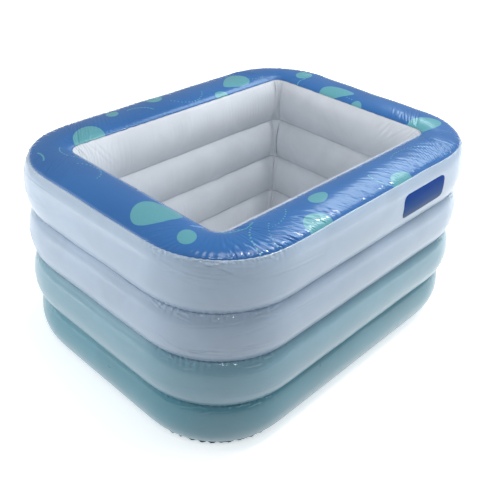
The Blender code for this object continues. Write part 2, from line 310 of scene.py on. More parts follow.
# Round spots and drops of the rim's print: x, y, half length, half width,
# turned by, and how pointed the far end is (0 is an ellipse).
SPOTS = (
    (-0.388, 0.337, 0.068, 0.052, 0.9, 0.10),
    (-0.538, -0.163, 0.067, 0.054, -0.90, 0.53),
    (-0.556, -0.298, 0.031, 0.024, 0.80, 0.08),
    (-0.162, -0.390, 0.036, 0.023, 0.15, 0.18),
    (-0.256, -0.474, 0.047, 0.042, 0.10, 0.10),
    (0.118, -0.480, 0.046, 0.034, 0.20, 0.15),
    (0.508, -0.306, 0.058, 0.046, -0.50, 0.15),
    (0.511, 0.072, 0.064, 0.036, -1.15, 0.45),
    (0.476, -0.040, 0.029, 0.022, 0.40, 0.25),
    (0.550, 0.262, 0.036, 0.030, 0.30, 0.10),
    (0.292, 0.386, 0.066, 0.040, 3.35, 0.50),
    (0.180, 0.334, 0.028, 0.024, 0.20, 0.20),
    (-0.046, 0.444, 0.034, 0.028, 0.40, 0.15),
    (-0.236, 0.428, 0.024, 0.020, 0.40, 0.10),
)

# Dotted and dashed arcs: centre x, y, radius, first and last angle (degrees),
# dot pitch, dot radius, dash stretch
ARCS = (
    (-0.560, 0.150, 0.062, -75, 62, 0.0125, 0.0022, 1.0),
    (-0.470, 0.290, 0.050, 130, 262, 0.0105, 0.0016, 2.4),
    (-0.640, 0.330, 0.070, -40, 10, 0.0110, 0.0022, 2.6),
    (-0.420, -0.290, 0.075, 215, 300, 0.0110, 0.0018, 2.6),
    (-0.356, -0.470, 0.110, 118, 196, 0.0135, 0.0024, 1.0),
    (-0.290, -0.500, 0.130, 122, 196, 0.0120, 0.0018, 1.0),
    (-0.360, -0.300, 0.110, 265, 325, 0.0130, 0.0019, 1.0),
    (0.090, -0.430, 0.052, 150, 268, 0.0095, 0.0018, 2.6),
    (0.250, -0.500, 0.130, 40, 118, 0.0130, 0.0020, 1.0),
    (0.560, -0.180, 0.066, -60, 50, 0.0115, 0.0017, 2.6),
    (0.500, 0.190, 0.050, 60, 150, 0.0095, 0.0018, 2.6),
    (0.060, 0.430, 0.080, 205, 330, 0.0130, 0.0020, 1.0),
    (-0.170, 0.350, 0.070, 20, 100, 0.0110, 0.0018, 2.6),
    (0.400, 0.430, 0.070, 190, 290, 0.0130, 0.0020, 1.0),
    (0.560, 0.000, 0.060, 100, 190, 0.0120, 0.0020, 1.0),
)


def rim_material():
    n = Nodes("rim_blue")
    big = n.noise(5.0, 2.0, 0.5, offset=(2, 5, 1))
    colour = n.mix(n.ramp(big, 0.3, 0.7), (0.029, 0.141, 0.400), (0.034, 0.160, 0.440))
    spots = None
    for x, y, a, b, turn, point in SPOTS:
        u, v, _ = n.local((x, y, 0), turn, (a, b, 1))
        taper = n.math("MULTIPLY_ADD", u, -point, 1.0)
        v = n.math("DIVIDE", v, n.math("MAXIMUM", taper, 0.05))
        rr = n.math("ADD", n.math("MULTIPLY", u, u), n.math("MULTIPLY", v, v))
        edge = 0.0009 / min(a, b)
        m = n.map(rr, 1.0 - edge, 1.0 + edge, 1.0, 0.0)
        spots = m if spots is None else n.math("MAXIMUM", spots, m)
    dots = None
    for x, y, radius, a0, a1, pitch, size, dash in ARCS:
        mid = math.radians((a0 + a1) / 2)
        u, v, _ = n.local((x, y, 0), mid)
        ang = n.math("ARCTAN2", v, u)
        rho = n.math("SQRT", n.math("ADD", n.math("MULTIPLY", u, u), n.math("MULTIPLY", v, v)))
        along = n.math("MULTIPLY", ang, radius / pitch)
        cell = n.math("SUBTRACT", n.math("FRACT", along), 0.5)
        cell = n.math("MULTIPLY", cell, pitch / (size * dash))
        across = n.math("MULTIPLY", n.math("SUBTRACT", rho, radius), 1.0 / size)
        rr = n.math("ADD", n.math("MULTIPLY", cell, cell), n.math("MULTIPLY", across, across))
        m = n.map(rr, 0.9, 1.7, 1.0, 0.0)
        span = math.radians(a1 - a0) / 2
        inside = n.math("LESS_THAN", n.math("ABSOLUTE", ang), span)
        m = n.math("MULTIPLY", m, inside)
        dots = m if dots is None else n.math("MAXIMUM", dots, m)
    colour = n.mix(spots, colour, srgb(96, 165, 176))
    colour = n.mix(n.math("MULTIPLY", dots, 0.8), colour, srgb(100, 180, 182))
    return n.finish(*film_base(n, colour, (0.20, 0.27), 0.06, 0.04, 0.45))


def patch_material():
    n = Nodes("patch_blue")
    z = n.new("ShaderNodeSeparateXYZ")
    n.link(n.coords, z.inputs[0])
    wob = n.noise(9.0, 2.0, 0.5, offset=(1, 0, 4))
    h = n.math("ADD", z.outputs[2], n.math("MULTIPLY_ADD", wob, 0.02, -0.01))
    up = n.map(h, PATCH_Z[0], PATCH_Z[1], 0.0, 1.0)
    low = n.mix(n.ramp(up, 0.0, 0.42), srgb(84, 106, 146), srgb(38, 82, 146))
    colour = n.mix(n.ramp(up, 0.30, 0.85), low, srgb(8, 64, 144))
    n.shader.inputs["Specular IOR Level"].default_value = 0.05
    return n.finish(*film_base(n, colour, (0.42, 0.50), 0.04, 0.03, 0.0))


# ----------------------------------------------------------------- the grids
class Columns:
    """Columns round the tub, counter-clockwise from the middle of the +X side.
    Each has an outward direction and a place on any rounded rectangle."""

    def __init__(self, corner, long_side, short_side, gather=0.0):
        kinds, dirs = [], []

        def side(k, f0, f1, m):
            a = (k + 1) * math.pi / 2
            for i in range(m):
                f = f0 + (f1 - f0) * i / m
                f = (1 - gather) * f + gather * (0.5 - 0.5 * math.cos(math.pi * f))
                kinds.append((1, k, f))
                dirs.append((math.cos(a), math.sin(a)))

        def arc(k):
            for i in range(corner):
                a = k * math.pi / 2 + (i / corner) * math.pi / 2
                kinds.append((0, k, i / corner))
                dirs.append((math.cos(a), math.sin(a)))

        side(3, 0.5, 1.0, short_side // 2)
        arc(0)
        side(0, 0, 1, long_side)
        arc(1)
        side(1, 0, 1, short_side)
        arc(2)
        side(2, 0, 1, long_side)
        arc(3)
        side(3, 0.0, 0.5, short_side // 2)
        self.kinds, self.dirs, self.n = kinds, np.array(dirs), len(kinds)
        self.is_arc = np.array([1.0 - k[0] for k in kinds])

    def outline(self, half_l, half_w, r):
        signs = ((1, 1), (-1, 1), (-1, -1), (1, -1))
        centres = np.array([(sx * (half_l - r), sy * (half_w - r)) for sx, sy in signs])
        out = np.empty((self.n, 2))
        for i, (kind, k, f) in enumerate(self.kinds):
            c = centres[k]
            if kind:
                c = c * (1 - f) + centres[(k + 1) % 4] * f
            out[i] = c + r * self.dirs[i]
        return out


def lengths_round(points):
    """Distance along a closed outline at each of its points, and in all."""
    step = np.linalg.norm(np.roll(points, -1, axis=0) - points, axis=1)
    return np.concatenate([[0.0], np.cumsum(step)[:-1]]), step.sum()


def round_noise(s, total, wave, seed, spread=0.6, count=24):
    """Smooth random curve round the tub with waves about this long, within +-1."""
    rng = np.random.default_rng(seed)
    k0 = total / wave
    k = np.maximum(np.round(rng.uniform(k0 * (1 - spread), k0 * (1 + spread), count)), 1)
    p = rng.uniform(0, 2 * math.pi, count)
    y = np.cos(2 * math.pi * s[:, None] * k[None, :] / total + p[None, :]).sum(1)
    return y / (1.6 * math.sqrt(count / 2))


def blur_round(a, sigma):
    """Gaussian blur along the closed columns, sigma in columns."""
    f = np.fft.rfftfreq(a.shape[1])
    g = np.exp(-2 * (math.pi * f * sigma) ** 2)
    return np.fft.irfft(np.fft.rfft(a, axis=1) * (g[None, :, None] if a.ndim == 3 else g[None, :]),
                        a.shape[1], axis=1)


def seam_rows(n, tight=0.6):
    """n+1 values from 0 to 1, closer together at both ends."""
    u = np.linspace(0, 1, n + 1)
    return (1 - tight) * u + tight * (0.5 - 0.5 * np.cos(np.pi * u))


# ------------------------------------------------------------ film simulation
def link_pairs(x, rest, ia, ib, w, stiff):
    a, b = x[ia], x[ib]
    wa, wb = w[ia], w[ib]
    d = b - a
    length = np.sqrt(np.einsum("ijk,ijk->ij", d, d)) + 1e-12
    d *= ((length - rest) / (length * (wa + wb + 1e-9)) * stiff)[..., None]
    x[ia] = a + d * wa[..., None]
    x[ib] = b - d * wb[..., None]


def relax_film(x, rest_c, rest_r, w, steps, inner, pressure, bend=0.25, shear=0.15,
               damp=0.92, along=0.8, across=1.0):
    """Position-based film: x is rows x columns x 3, rest_c and rest_r are the cut
    lengths along and across the welds, w is 0 where the film is held.  Pressure
    pushes along the film's own normal."""
    rows, cols = x.shape[:2]
    rest_b = rest_c[:, :-1] + rest_c[:, 1:]
    rest_d = np.sqrt(rest_c[:-1] ** 2 + ((rest_r[:, :-1] + rest_r[:, 1:]) / 2) ** 2)
    every = slice(None)
    prev = x.copy()
    for _ in range(steps):
        v = (x - prev) * (damp * w)[..., None]
        prev = x.copy()
        n = np.cross(x[1:-1, 2:] - x[1:-1, :-2], x[2:, 1:-1] - x[:-2, 1:-1])
        n /= np.linalg.norm(n, axis=2, keepdims=True) + 1e-12
        x += v
        x[1:-1, 1:-1] += n * (pressure * w[1:-1, 1:-1])[..., None]
        for _ in range(inner):
            for o in (0, 1):
                m = (cols - o) // 2
                link_pairs(x, rest_c[:, o:o + 2 * m - 1:2], (every, slice(o, o + 2 * m - 1, 2)),
                           (every, slice(o + 1, o + 2 * m, 2)), w, along)
            for o in (0, 1):
                m = (rows - o) // 2
                link_pairs(x, rest_r[o:o + 2 * m - 1:2], (slice(o, o + 2 * m - 1, 2), every),
                           (slice(o + 1, o + 2 * m, 2), every), w, across)
            for o in (0, 1, 2, 3):
                m = (cols - o - 2 + 3) // 4
                link_pairs(x, rest_b[:, o:o + 4 * m - 3:4], (every, slice(o, o + 4 * m - 3, 4)),
                           (every, slice(o + 2, o + 4 * m - 1, 4)), w, bend)
            for o in (0, 1):
                for p in (0, 1):
                    mr, mc = (rows - p) // 2, (cols - o) // 2
                    r0, r1 = slice(p, p + 2 * mr - 1, 2), slice(p + 1, p + 2 * mr, 2)
                    c0, c1 = slice(o, o + 2 * mc - 1, 2), slice(o + 1, o + 2 * mc, 2)
                    rd = rest_d[p:p + 2 * mr - 1:2, o:o + 2 * mc - 1:2]
                    link_pairs(x, rd, (r0, c0), (r1, c1), w, shear)
                    link_pairs(x, rd, (r0, c1), (r1, c0), w, shear)
    return x


def steps_of(x):
    return (np.linalg.norm(np.diff(x, axis=1), axis=2), np.linalg.norm(np.diff(x, axis=0), axis=2))


def wrinkled(base, extra, seeds, pressure, steps=32, inner=5, keep_low=0.15, cap=0.007,
             bend=0.25, shear=0.15, slow=22.0, only=None):
    """The base film with spare length (extra, as a part of its length along the
    welds) let out by the simulation.  Only the wrinkles are kept: the slow part
    of the movement goes, so the inflated outline stays where it was measured."""
    rows, cols = base.shape[:2]
    x = base + seeds
    rest_c, rest_r = steps_of(base)
    rest_c = rest_c * (1 + (extra[:, 1:] + extra[:, :-1]) / 2)
    w = np.ones((rows, cols))
    w[0] = w[-1] = 0
    w[:, 0] = w[:, -1] = 0
    x = relax_film(x, rest_c, rest_r, w, steps, inner, pressure, bend, shear)
    d = x - base
    low = blur_round(d, slow)
    d = d - (1 - keep_low) * low
    # the held columns stand still, so the wrinkles die away on both sides of them
    away = np.clip(np.minimum(np.arange(cols), cols - 1 - np.arange(cols)) / 28.0, 0, 1)
    d *= (away * away * (3 - 2 * away))[None, :, None]
    size = np.linalg.norm(d, axis=2, keepdims=True)
    d *= np.minimum(1.0, cap * np.tanh(size / cap) / (size + 1e-9))
    if only is not None:
        d *= only[:, None, None]
    # one soft pass takes out what is finer than the grid can hold
    d[1:-1, 1:-1] = 0.5 * d[1:-1, 1:-1] + 0.125 * (d[1:-1, 2:] + d[1:-1, :-2] + d[2:, 1:-1] + d[:-2, 1:-1])
    return base + d


# ------------------------------------------------------------------- meshes
def grid_object(name, grid, mat, flip=False, skip=None):
    """grid is rows x columns x 3, closed along the columns.  Its map is the strip
    cut into bands, so that the film keeps its proportions."""
    rows, cols = grid.shape[:2]
    verts = grid.reshape(-1, 3)
    idx = np.arange(rows * cols).reshape(rows, cols)
    nxt = np.roll(idx, -1, axis=1)
    length = np.linalg.norm(np.diff(grid[rows // 2], axis=0), axis=1).sum()
    width = np.linalg.norm(np.diff(grid[:, 0], axis=0), axis=1).sum()
    bands = max(1, int(round(math.sqrt(length / width))))
    per = math.ceil(cols / bands)
    i = np.arange(cols)
    band, li = i // per, i % per
    across = np.concatenate([[0], np.cumsum(np.linalg.norm(np.diff(grid, axis=0), axis=2).mean(1))])
    across /= across[-1]
    m = 0.004
    u0 = m + (1 - 2 * m) * li / per
    u1 = m + (1 - 2 * m) * (li + 1) / per
    v = lambda row: (band + m * bands + (1 - 2 * m * bands) * across[row]) / bands
    faces, uvs = [], []
    for j in range(rows - 1):
        faces.append(np.stack([idx[j], nxt[j], nxt[j + 1], idx[j + 1]], -1))
        a, b = v(j), v(j + 1)
        uvs.append(np.stack([np.stack([u0, a], -1), np.stack([u1, a], -1),
                             np.stack([u1, b], -1), np.stack([u0, b], -1)], 1))
    faces = np.concatenate(faces)
    uvs = np.concatenate(uvs)
    if skip is not None:
        keep = ~skip(verts[faces].mean(1))
        faces, uvs = faces[keep], uvs[keep]
    if flip:
        faces, uvs = faces[:, ::-1], uvs[:, ::-1]
    mesh = bpy.data.meshes.new(name)
    mesh.vertices.add(len(verts))
    mesh.vertices.foreach_set("co", verts.astype(np.float32).ravel())
    mesh.loops.add(len(faces) * 4)
    mesh.loops.foreach_set("vertex_index", faces.astype(np.int32).ravel())
    mesh.polygons.add(len(faces))
    mesh.polygons.foreach_set("loop_start", np.arange(0, len(faces) * 4, 4, dtype=np.int32))
    mesh.update(calc_edges=True)
    layer = mesh.uv_layers.new(name="OFBake")
    layer.data.foreach_set("uv", uvs.astype(np.float32).ravel())
    mesh.validate()
    mesh.shade_smooth()
    mesh.materials.append(mat)
    if skip is not None:
        bm = bmesh.new()
        bm.from_mesh(mesh)
        bmesh.ops.delete(bm, geom=[v for v in bm.verts if not v.link_faces], context="VERTS")
        bm.to_mesh(mesh)
        bm.free()
    ob = bpy.data.objects.new(name, mesh)
    bpy.context.scene.collection.objects.link(ob)
    return ob


def tucked(grid, first, last, depth=0.003):
    """Adds a row past each weld, where the film's edge is welded out of sight."""
    out = [grid]
    if first is not None:
        out.insert(0, (grid[0] + first * depth)[None])
    if last is not None:
        out.append((grid[-1] + last * depth)[None])
    return np.concatenate(out)


# ---------------------------------------------------------------- the films
OC = Columns(260, 500, 310)
INNER_EDGE = OC.outline(HALF_L - WALL, HALF_W - WALL, INNER_R)
IC = Columns(84, 300, 220, gather=0.6)
# the films round off the change from the straight sides to the corners
OUT0 = blur_round(OC.outline(HALF_L, HALF_W, CORNER_R)[None], 20.0)[0]
OC.dirs = np.roll(OUT0, -1, axis=0) - np.roll(OUT0, 1, axis=0)
OC.dirs = np.stack([OC.dirs[:, 1], -OC.dirs[:, 0]], -1)
OC.dirs /= np.linalg.norm(OC.dirs, axis=1, keepdims=True)
OS, OTOTAL = lengths_round(OUT0)
# the outer skins need finer rows than columns
SC = Columns(200, 200, 124, gather=0.4)
SKIN0 = SC.outline(HALF_L, HALF_W, CORNER_R)
SS = lengths_round(SKIN0)[0]
SS *= OTOTAL / lengths_round(SKIN0)[1]
SKIN0 = np.stack([np.interp(SS, OS, OUT0[:, i], period=OTOTAL) for i in (0, 1)], -1)
SC.dirs = np.stack([np.interp(SS, OS, OC.dirs[:, i], period=OTOTAL) for i in (0, 1)], -1)
SC.dirs /= np.linalg.norm(SC.dirs, axis=1, keepdims=True)
SKIN_DIR3 = np.concatenate([SC.dirs, np.zeros((SC.n, 1))], 1)
IN0 = IC.outline(HALF_L - WALL, HALF_W - WALL, INNER_R)
IS, ITOTAL = lengths_round(IN0)
OUT_DIR3 = np.concatenate([OC.dirs, np.zeros((OC.n, 1))], 1)
IN_DIR3 = np.concatenate([IC.dirs, np.zeros((IC.n, 1))], 1)
UP = np.array((0.0, 0.0, 1.0))


def near(points, spots):
    """Sum of soft discs: each spot is x, y, radius, amount."""
    y = np.zeros(len(points))
    for px, py, r, amount in spots:
        y += amount * np.exp(-((points[:, 0] - px) ** 2 + (points[:, 1] - py) ** 2) / (2 * r * r))
    return y


def corner_weight(cols, sigma):
    return blur_round(cols.is_arc[None, :], sigma)[0]


def seam_wobble(cols, s, total, seed, amount):
    """How far a weld strays from its line, outward and upward: a slow drift all
    round and short puckers where the film is gathered in the corners."""
    c = corner_weight(cols, 20)
    slow = round_noise(s, total, 0.42, seed, 0.5, 10)
    slow2 = round_noise(s, total, 0.30, seed + 1, 0.5, 10)
    fine = round_noise(s, total, 0.017, seed + 2, 0.35, 40)
    fine2 = round_noise(s, total, 0.022, seed + 3, 0.35, 40)
    out = 0.0008 * slow + amount * c * fine
    up = 0.0010 * slow2 + 0.7 * amount * c * fine2
    return out, up


def pleats(s, total, z, seed, starts, reach, width, depth, slant=(-0.5, 0.5), curve=0.0, rise=0.25):
    """Short folds that run from a weld into the film, each a narrow valley between
    soft shoulders: s round the tub, z away from the weld, both in metres."""
    rng = np.random.default_rng(seed)
    h = np.zeros((len(z), len(s)))
    z = z[:, None]
    for s0 in starts:
        r = reach * rng.uniform(0.45, 1.7)
        w0 = width * rng.uniform(0.7, 1.4)
        a = depth * rng.uniform(0.3, 1.0)
        lean = rng.uniform(*slant)
        bow = curve * rng.uniform(0.6, 1.4)
        middle = s0 + lean * z + bow * z * z
        ds = (s[None, :] - middle + total / 2) % total - total / 2
        w = w0 * (1 + 1.2 * z / r)
        e = np.exp(-(z / r) ** 1.5) * np.minimum(z / (rise * r) + 0.3, 1.0)
        q = ds / w
        h += a * e * (0.55 * np.exp(-(q / 2.3) ** 2) - 1.0 * np.exp(-q * q))
    return h


def spaced(s, total, weight, pitch, seed):
    """Places round the tub with about this pitch where weight is 1, none at 0."""
    rng = np.random.default_rng(seed)
    places, at = [], rng.uniform(0, pitch)
    while at < total:
        here = float(np.interp(at, s, weight))
        if rng.random() < here:
            places.append(at)
        at += pitch * rng.uniform(0.6, 1.4)
    return places


WOBBLE = [seam_wobble(OC, OS, OTOTAL, 100 + 10 * k, (0.0006, 0.0008, 0.0008, 0.0007, 0.0012)[k])
          for k in range(5)]
IN_WOBBLE = [seam_wobble(IC, IS, ITOTAL, 200 + 10 * k, 0.0003) for k in range(5)]


def normals_of(grid):
    """Unit normals of a grid closed along its columns, pointing up or outward."""
    du = np.roll(grid, -1, axis=1) - np.roll(grid, 1, axis=1)
    dv = np.gradient(grid, axis=0)
    n = np.cross(du, dv)
    n /= np.linalg.norm(n, axis=2, keepdims=True) + 1e-12
    return n if n[len(n) // 2, :, 2].mean() > 0 else -n


def rim_film():
    t = seam_rows(33, 0.40)
    inner = INNER_EDGE
    base = np.empty((len(t), OC.n, 3))
    out, up = WOBBLE[0]
    for j, u in enumerate(t):
        fade = (1 - u) ** 2
        base[j, :, :2] = OUT0 * (1 - u) + inner * u + OC.dirs * (out * fade)[:, None]
        base[j, :, 2] = SEAM_Z[0] + swell(u, RIM_CROWN) + up * fade
    c = corner_weight(OC, 28)
    patches = near(OUT0, (
        (-0.400, -0.482, 0.075, 0.012), (-0.250, -0.482, 0.055, 0.007), (-0.500, -0.450, 0.050, 0.004),
        (0.060, -0.482, 0.085, 0.005), (0.330, -0.482, 0.070, 0.003), (-0.050, -0.482, 0.050, 0.003),
        (-0.100, 0.482, 0.160, 0.005), (0.280, 0.482, 0.090, 0.004), (-0.400, 0.460, 0.080, 0.005),
        (0.628, 0.100, 0.120, 0.001), (0.600, 0.330, 0.080, 0.003), (0.600, -0.330, 0.090, 0.0005),
        (-0.580, 0.300, 0.080, 0.003), (-0.628, 0.000, 0.090, 0.001)))
    slow = 0.5 + 0.5 * round_noise(OS, OTOTAL, 0.25, 31)
    e0 = 0.0006 + 0.0012 * slow + 0.0016 * c + patches
    e0 *= 1 - 0.8 * near(OUT0, ((0.610, -0.330, 0.130, 1.0),))
    extra = e0[None, :] * (1 - t)[:, None] ** 0.7 + 0.0008
    rng = np.random.default_rng(5)
    seeds = np.zeros_like(base)
    seeds[1:-1, :, 2] = 0.00030 * rng.standard_normal((len(t) - 2, OC.n)) * (0.3 + 60 * extra[1:-1])
    seeds = 0.6 * seeds + 0.4 * np.roll(seeds, 1, axis=0)
    z = t * 0.155
    weight = np.clip(0.10 + 0.25 * c + 30 * patches, 0, 1)
    seeds[:, :, 2] += pleats(OS, OTOTAL, z, 11, spaced(OS, OTOTAL, weight, 0.011, 12), 0.018, 0.0024, 0.0008)
    seeds[0] = seeds[-1] = 0
    g = wrinkled(base, extra, seeds, 2.0e-5, cap=0.004, slow=44.0)
    g += normals_of(base) * rim_folds(z)[..., None]
    down = -UP - 0.6 * OUT_DIR3
    return tucked(g, down, -UP + 0.6 * OUT_DIR3)


def along_near_side(x):
    """Distance round the outer outline of a place on the near long side."""
    on = OUT0[:, 1] < -0.24
    return float(np.interp(x, OUT0[on, 0], OS[on]))


def rim_folds(z):
    """The curved folds of the near long tube, which set off square from the weld
    and bend towards the near corner, and the shorter ones elsewhere."""
    h = np.zeros((len(z), OC.n))
    rng = np.random.default_rng(77)
    for x0, x1, pitch, reach, depth, curve, width in (
            (-0.520, -0.340, 0.0140, 0.026, 0.0034, -2.0, 0.0030), (-0.350, -0.130, 0.0150, 0.045, 0.0030, -5.0, 0.0034),
            (-0.400, -0.150, 0.0260, 0.085, 0.0018, -6.0, 0.0042), (-0.130, -0.020, 0.0200, 0.045, 0.0016, -4.5, 0.0034),
            (0.020, 0.200, 0.0180, 0.045, 0.0022, -4.0, 0.0034), (0.060, 0.130, 0.0150, 0.030, 0.0026, -2.0, 0.0030),
            (0.000, 0.420, 0.0300, 0.080, 0.0013, -5.5, 0.0044), (0.300, 0.360, 0.0150, 0.030, 0.0020, -3.0, 0.0030),
            (-0.330, 0.440, 0.0085, 0.100, 0.0011, -4.0, 0.0026)):
        starts, x = [], x0
        while x < x1:
            starts.append(along_near_side(x))
            x += pitch * rng.uniform(0.5, 1.5)
        h += pleats(OS, OTOTAL, z, 500 + int(1000 * (x0 + 1)), starts, reach, width, depth,
                    (-0.55, -0.05), curve)
    for place, sigma, pitch, reach, depth, seed in (
            ((0.628, 0.05), 0.16, 0.014, 0.035, 0.0007, 81), ((0.0, 0.482), 0.35, 0.012, 0.040, 0.0013, 82),
            ((-0.628, 0.20), 0.14, 0.020, 0.022, 0.0005, 83), ((-0.45, 0.45), 0.10, 0.012, 0.035, 0.0014, 84),
            ((0.56, 0.40), 0.12, 0.012, 0.035, 0.0012, 85), ((0.60, -0.36), 0.08, 0.016, 0.024, 0.0003, 86),
            ((-0.600, -0.380), 0.05, 0.013, 0.010, 0.0010, 87)):
        weight = np.clip(near(OUT0, ((*place, sigma, 1.0),)), 0, 1)
        h += pleats(OS, OTOTAL, z, seed, spaced(OS, OTOTAL, weight, pitch, seed + 20), reach, 0.0032, depth)
    # and the puckers along the inner edge, where the liner is welded on
    inward = z[-1] - z
    for place, sigma, pitch, reach, depth, seed in (
            ((-0.05, 0.482), 0.30, 0.013, 0.022, 0.0012, 101), ((-0.46, 0.40), 0.10, 0.012, 0.030, 0.0013, 102),
            ((0.628, 0.05), 0.22, 0.016, 0.018, 0.0008, 103), ((0.0, -0.482), 0.32, 0.015, 0.020, 0.0008, 104),
            ((-0.628, 0.10), 0.20, 0.018, 0.016, 0.0006, 105)):
        weight = np.clip(near(OUT0, ((*place, sigma, 1.0),)), 0, 1)
        h += pleats(OS, OTOTAL, inward, seed, spaced(OS, OTOTAL, weight, pitch, seed + 20), reach, 0.0030, depth,
                    (-0.9, 0.9))
    h[0] = h[-1] = 0
    return h


def outer_skin(ring):
    t = np.sort(np.concatenate([seam_rows(60, 0.45), (0.004, 0.0085, 0.9915, 0.996)]))
    top, bottom = SEAM_Z[ring], SEAM_Z[ring + 1]
    base = np.empty((len(t), SC.n, 3))
    (o0, u0), (o1, u1) = [[np.interp(SS, OS, w, period=OTOTAL) for w in WOBBLE[k]] for k in (ring, ring + 1)]
    for j, u in enumerate(t):
        off = swell(u, OUT_BULGE[ring]) - (FOOT_INSET * u ** 3 if ring == 3 else 0.0)
        f0, f1 = (1 - u) ** 14, u ** 14
        base[j, :, :2] = SKIN0 + SC.dirs * (off + o0 * f0 + o1 * f1)[:, None]
        base[j, :, 2] = top + (bottom - top) * u + u0 * (1 - u) ** 8 + (u1 * u ** 8 if ring < 3 else 0.0)
    c = corner_weight(SC, 16)
    span = top - bottom
    near_top, near_low = np.exp(-t * span / 0.012), np.exp(-(1 - t) * span / 0.012)
    slow = 0.5 + 0.5 * round_noise(SS, OTOTAL, 0.22, 300 + ring)
    gather = 0.0003 + 0.0006 * slow + (0.0010, 0.0004, 0.0003, 0.0003)[ring] * c
    extra = gather[None, :] * (near_top + near_low)[:, None]
    rng = np.random.default_rng(40 + ring)
    n3 = SKIN_DIR3[None]
    size = 0.0002 * rng.standard_normal((len(t), SC.n)) * (0.1 + 40 * extra)
    low_lift = 0.7
    z = t * span * 1.12
    zl = (1 - t) * span * 1.12
    patchy = np.maximum(0.5 + 0.5 * round_noise(SS, OTOTAL, 0.06, 320 + ring), 0.0)
    weight = np.clip((0.02 + (0.6, 0.4, 0.3, 0.3)[ring] * c) * patchy ** 1.5, 0, 1)
    reach = (0.009, 0.007, 0.006, 0.005)[ring]
    depth = (0.0013, 0.0008, 0.0006, 0.0005)[ring]
    size += pleats(SS, OTOTAL, z, 21 + ring, spaced(SS, OTOTAL, weight, 0.013, 22 + ring), reach, 0.0022, depth,
                   (-1.6, 1.6), 0.0, 0.15)
    size += low_lift * pleats(SS, OTOTAL, zl, 31 + ring, spaced(SS, OTOTAL, weight, 0.016, 32 + ring), 0.006, 0.0022,
                              0.8 * depth, (-1.6, 1.6), 0.0, 0.15)
    size[0] = size[-1] = 0
    edge = np.exp(-(t * span / 0.030) ** 2) + np.exp(-((1 - t) * span / 0.026) ** 2)
    g = wrinkled(base, extra, n3 * size[..., None], 1.5e-5, steps=20, cap=0.003, slow=30.0,
                 only=np.minimum(edge, 1.0))
    bead = (0.0013 if ring == 0 else 0.0005) * np.exp(-((z - 0.0012) / (0.0010 if ring == 0 else 0.0008)) ** 2)
    # short stiff puckers of the weld's own edge, right under it
    lumps = np.maximum(round_noise(SS, OTOTAL, 0.016, 340 + ring, 0.6, 40), 0) * (0.15 + 0.85 * c)
    edge = 0.0016 * np.exp(-((z - 0.0042) / 0.0020) ** 2)[:, None] * lumps[None, :]
    g = g + n3 * (long_creases(ring, t) + seam_glints(ring, z) + bead[:, None] + edge)[..., None]
    g[..., 2] = np.maximum(g[..., 2], 0.0008)
    g = pressed_at_valve(g, ring)
    return tucked(g, -SKIN_DIR3 + 0.3 * UP, -SKIN_DIR3 - (0.3 * UP if ring < 3 else 0.0))


def seam_glints(ring, z):
    """Short slanting creases right under a weld, nearly along it, where the lower
    film is gathered round the corners."""
    rng = np.random.default_rng(600 + ring)
    h = np.zeros((len(z), SC.n))
    corners = ((-0.555, -0.409, (26, 28, 20, 14)[ring]), (0.555, -0.409, 12), (-0.555, 0.409, 12),
               (0.555, 0.409, 14))
    for x, y, count in corners:
        mid = SS[np.argmin(np.hypot(SKIN0[:, 0] - x, SKIN0[:, 1] - y))]
        for _ in range(count):
            s0 = mid + rng.uniform(-0.17, 0.15)
            z0 = 0.003 + 0.018 * rng.random() ** 2.0
            half = rng.uniform(0.006, 0.022)
            tilt = rng.uniform(-0.35, 0.35)
            a = rng.uniform(0.0006, 0.0018)
            w = rng.uniform(0.0018, 0.0030)
            ds = (SS - s0 + OTOTAL / 2) % OTOTAL - OTOTAL / 2
            line = z0 + tilt * ds
            q = (z[:, None] - line[None, :]) / w
            h += a * np.exp(-(ds / half) ** 4)[None, :] * (1 - q * q) * np.exp(-q * q / 2)
    h[0] = 0
    return h


def long_creases(ring, t):
    """Faint folds that run along the rings where they bend round a corner."""
    h = np.zeros((len(t), SC.n))
    rng = np.random.default_rng(60 + ring)
    count = (11, 10, 6, 4)[ring]
    depth = (0.0015, 0.0015, 0.0008, 0.0006)[ring]
    corner_mid = [SS[np.argmin(np.hypot(SKIN0[:, 0] - x, SKIN0[:, 1] - y))]
                  for x, y in ((-0.555, -0.409), (0.555, -0.409), (-0.555, 0.409), (0.555, 0.409))]
    for mid in corner_mid:
        for _ in range(count):
            s0 = mid + rng.uniform(-0.10, 0.16)
            t0 = rng.uniform(0.10, 0.85) ** 1.2
            half = rng.uniform(0.06, 0.16)
            bow, tilt = rng.uniform(-0.10, 0.10), rng.uniform(-0.10, 0.10)
            ds = (SS - s0 + OTOTAL / 2) % OTOTAL - OTOTAL / 2
            q = ds / half
            line = t0 + bow * q * q + tilt * q
            w = rng.uniform(0.0017, 0.0026) / 0.165
            a = depth * rng.uniform(0.4, 1.0) * np.exp(-q ** 4) * (1 if rng.random() < 0.6 else -1)
            p = (t[:, None] - line[None, :]) / w
            h += a[None, :] * (1 - p * p) * np.exp(-p * p / 2)
    h *= np.minimum(1.0, 12 * t * (1 - t))[:, None]
    return h


def valve_frame(ring):
    """Centre, outward axis and upward axis of a ring's valve on its flat."""
    body = NODES["ring_%d_valve_body" % (ring + 1)]
    lo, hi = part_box("ring_%d_valve_body" % (ring + 1))
    middle = (Vector(lo) + Vector(hi)) / 2
    if ring == 3:
        n = Vector((0.992418, 0.0, -0.122905))
    else:
        n = Vector((1.0, 0.0, 0.0))
    far = max((body.matrix_world @ v.co).dot(n) for v in body.data.vertices)
    centre = Vector((middle.x, VALVE_Y, (SEAM_Z[ring] + SEAM_Z[ring + 1]) / 2))
    centre += n * (far - 0.0028 - centre.dot(n))      # the film's outer face
    up = Vector((0, 0, 1))
    up = (up - n * up.dot(n)).normalized()
    return centre, n, up


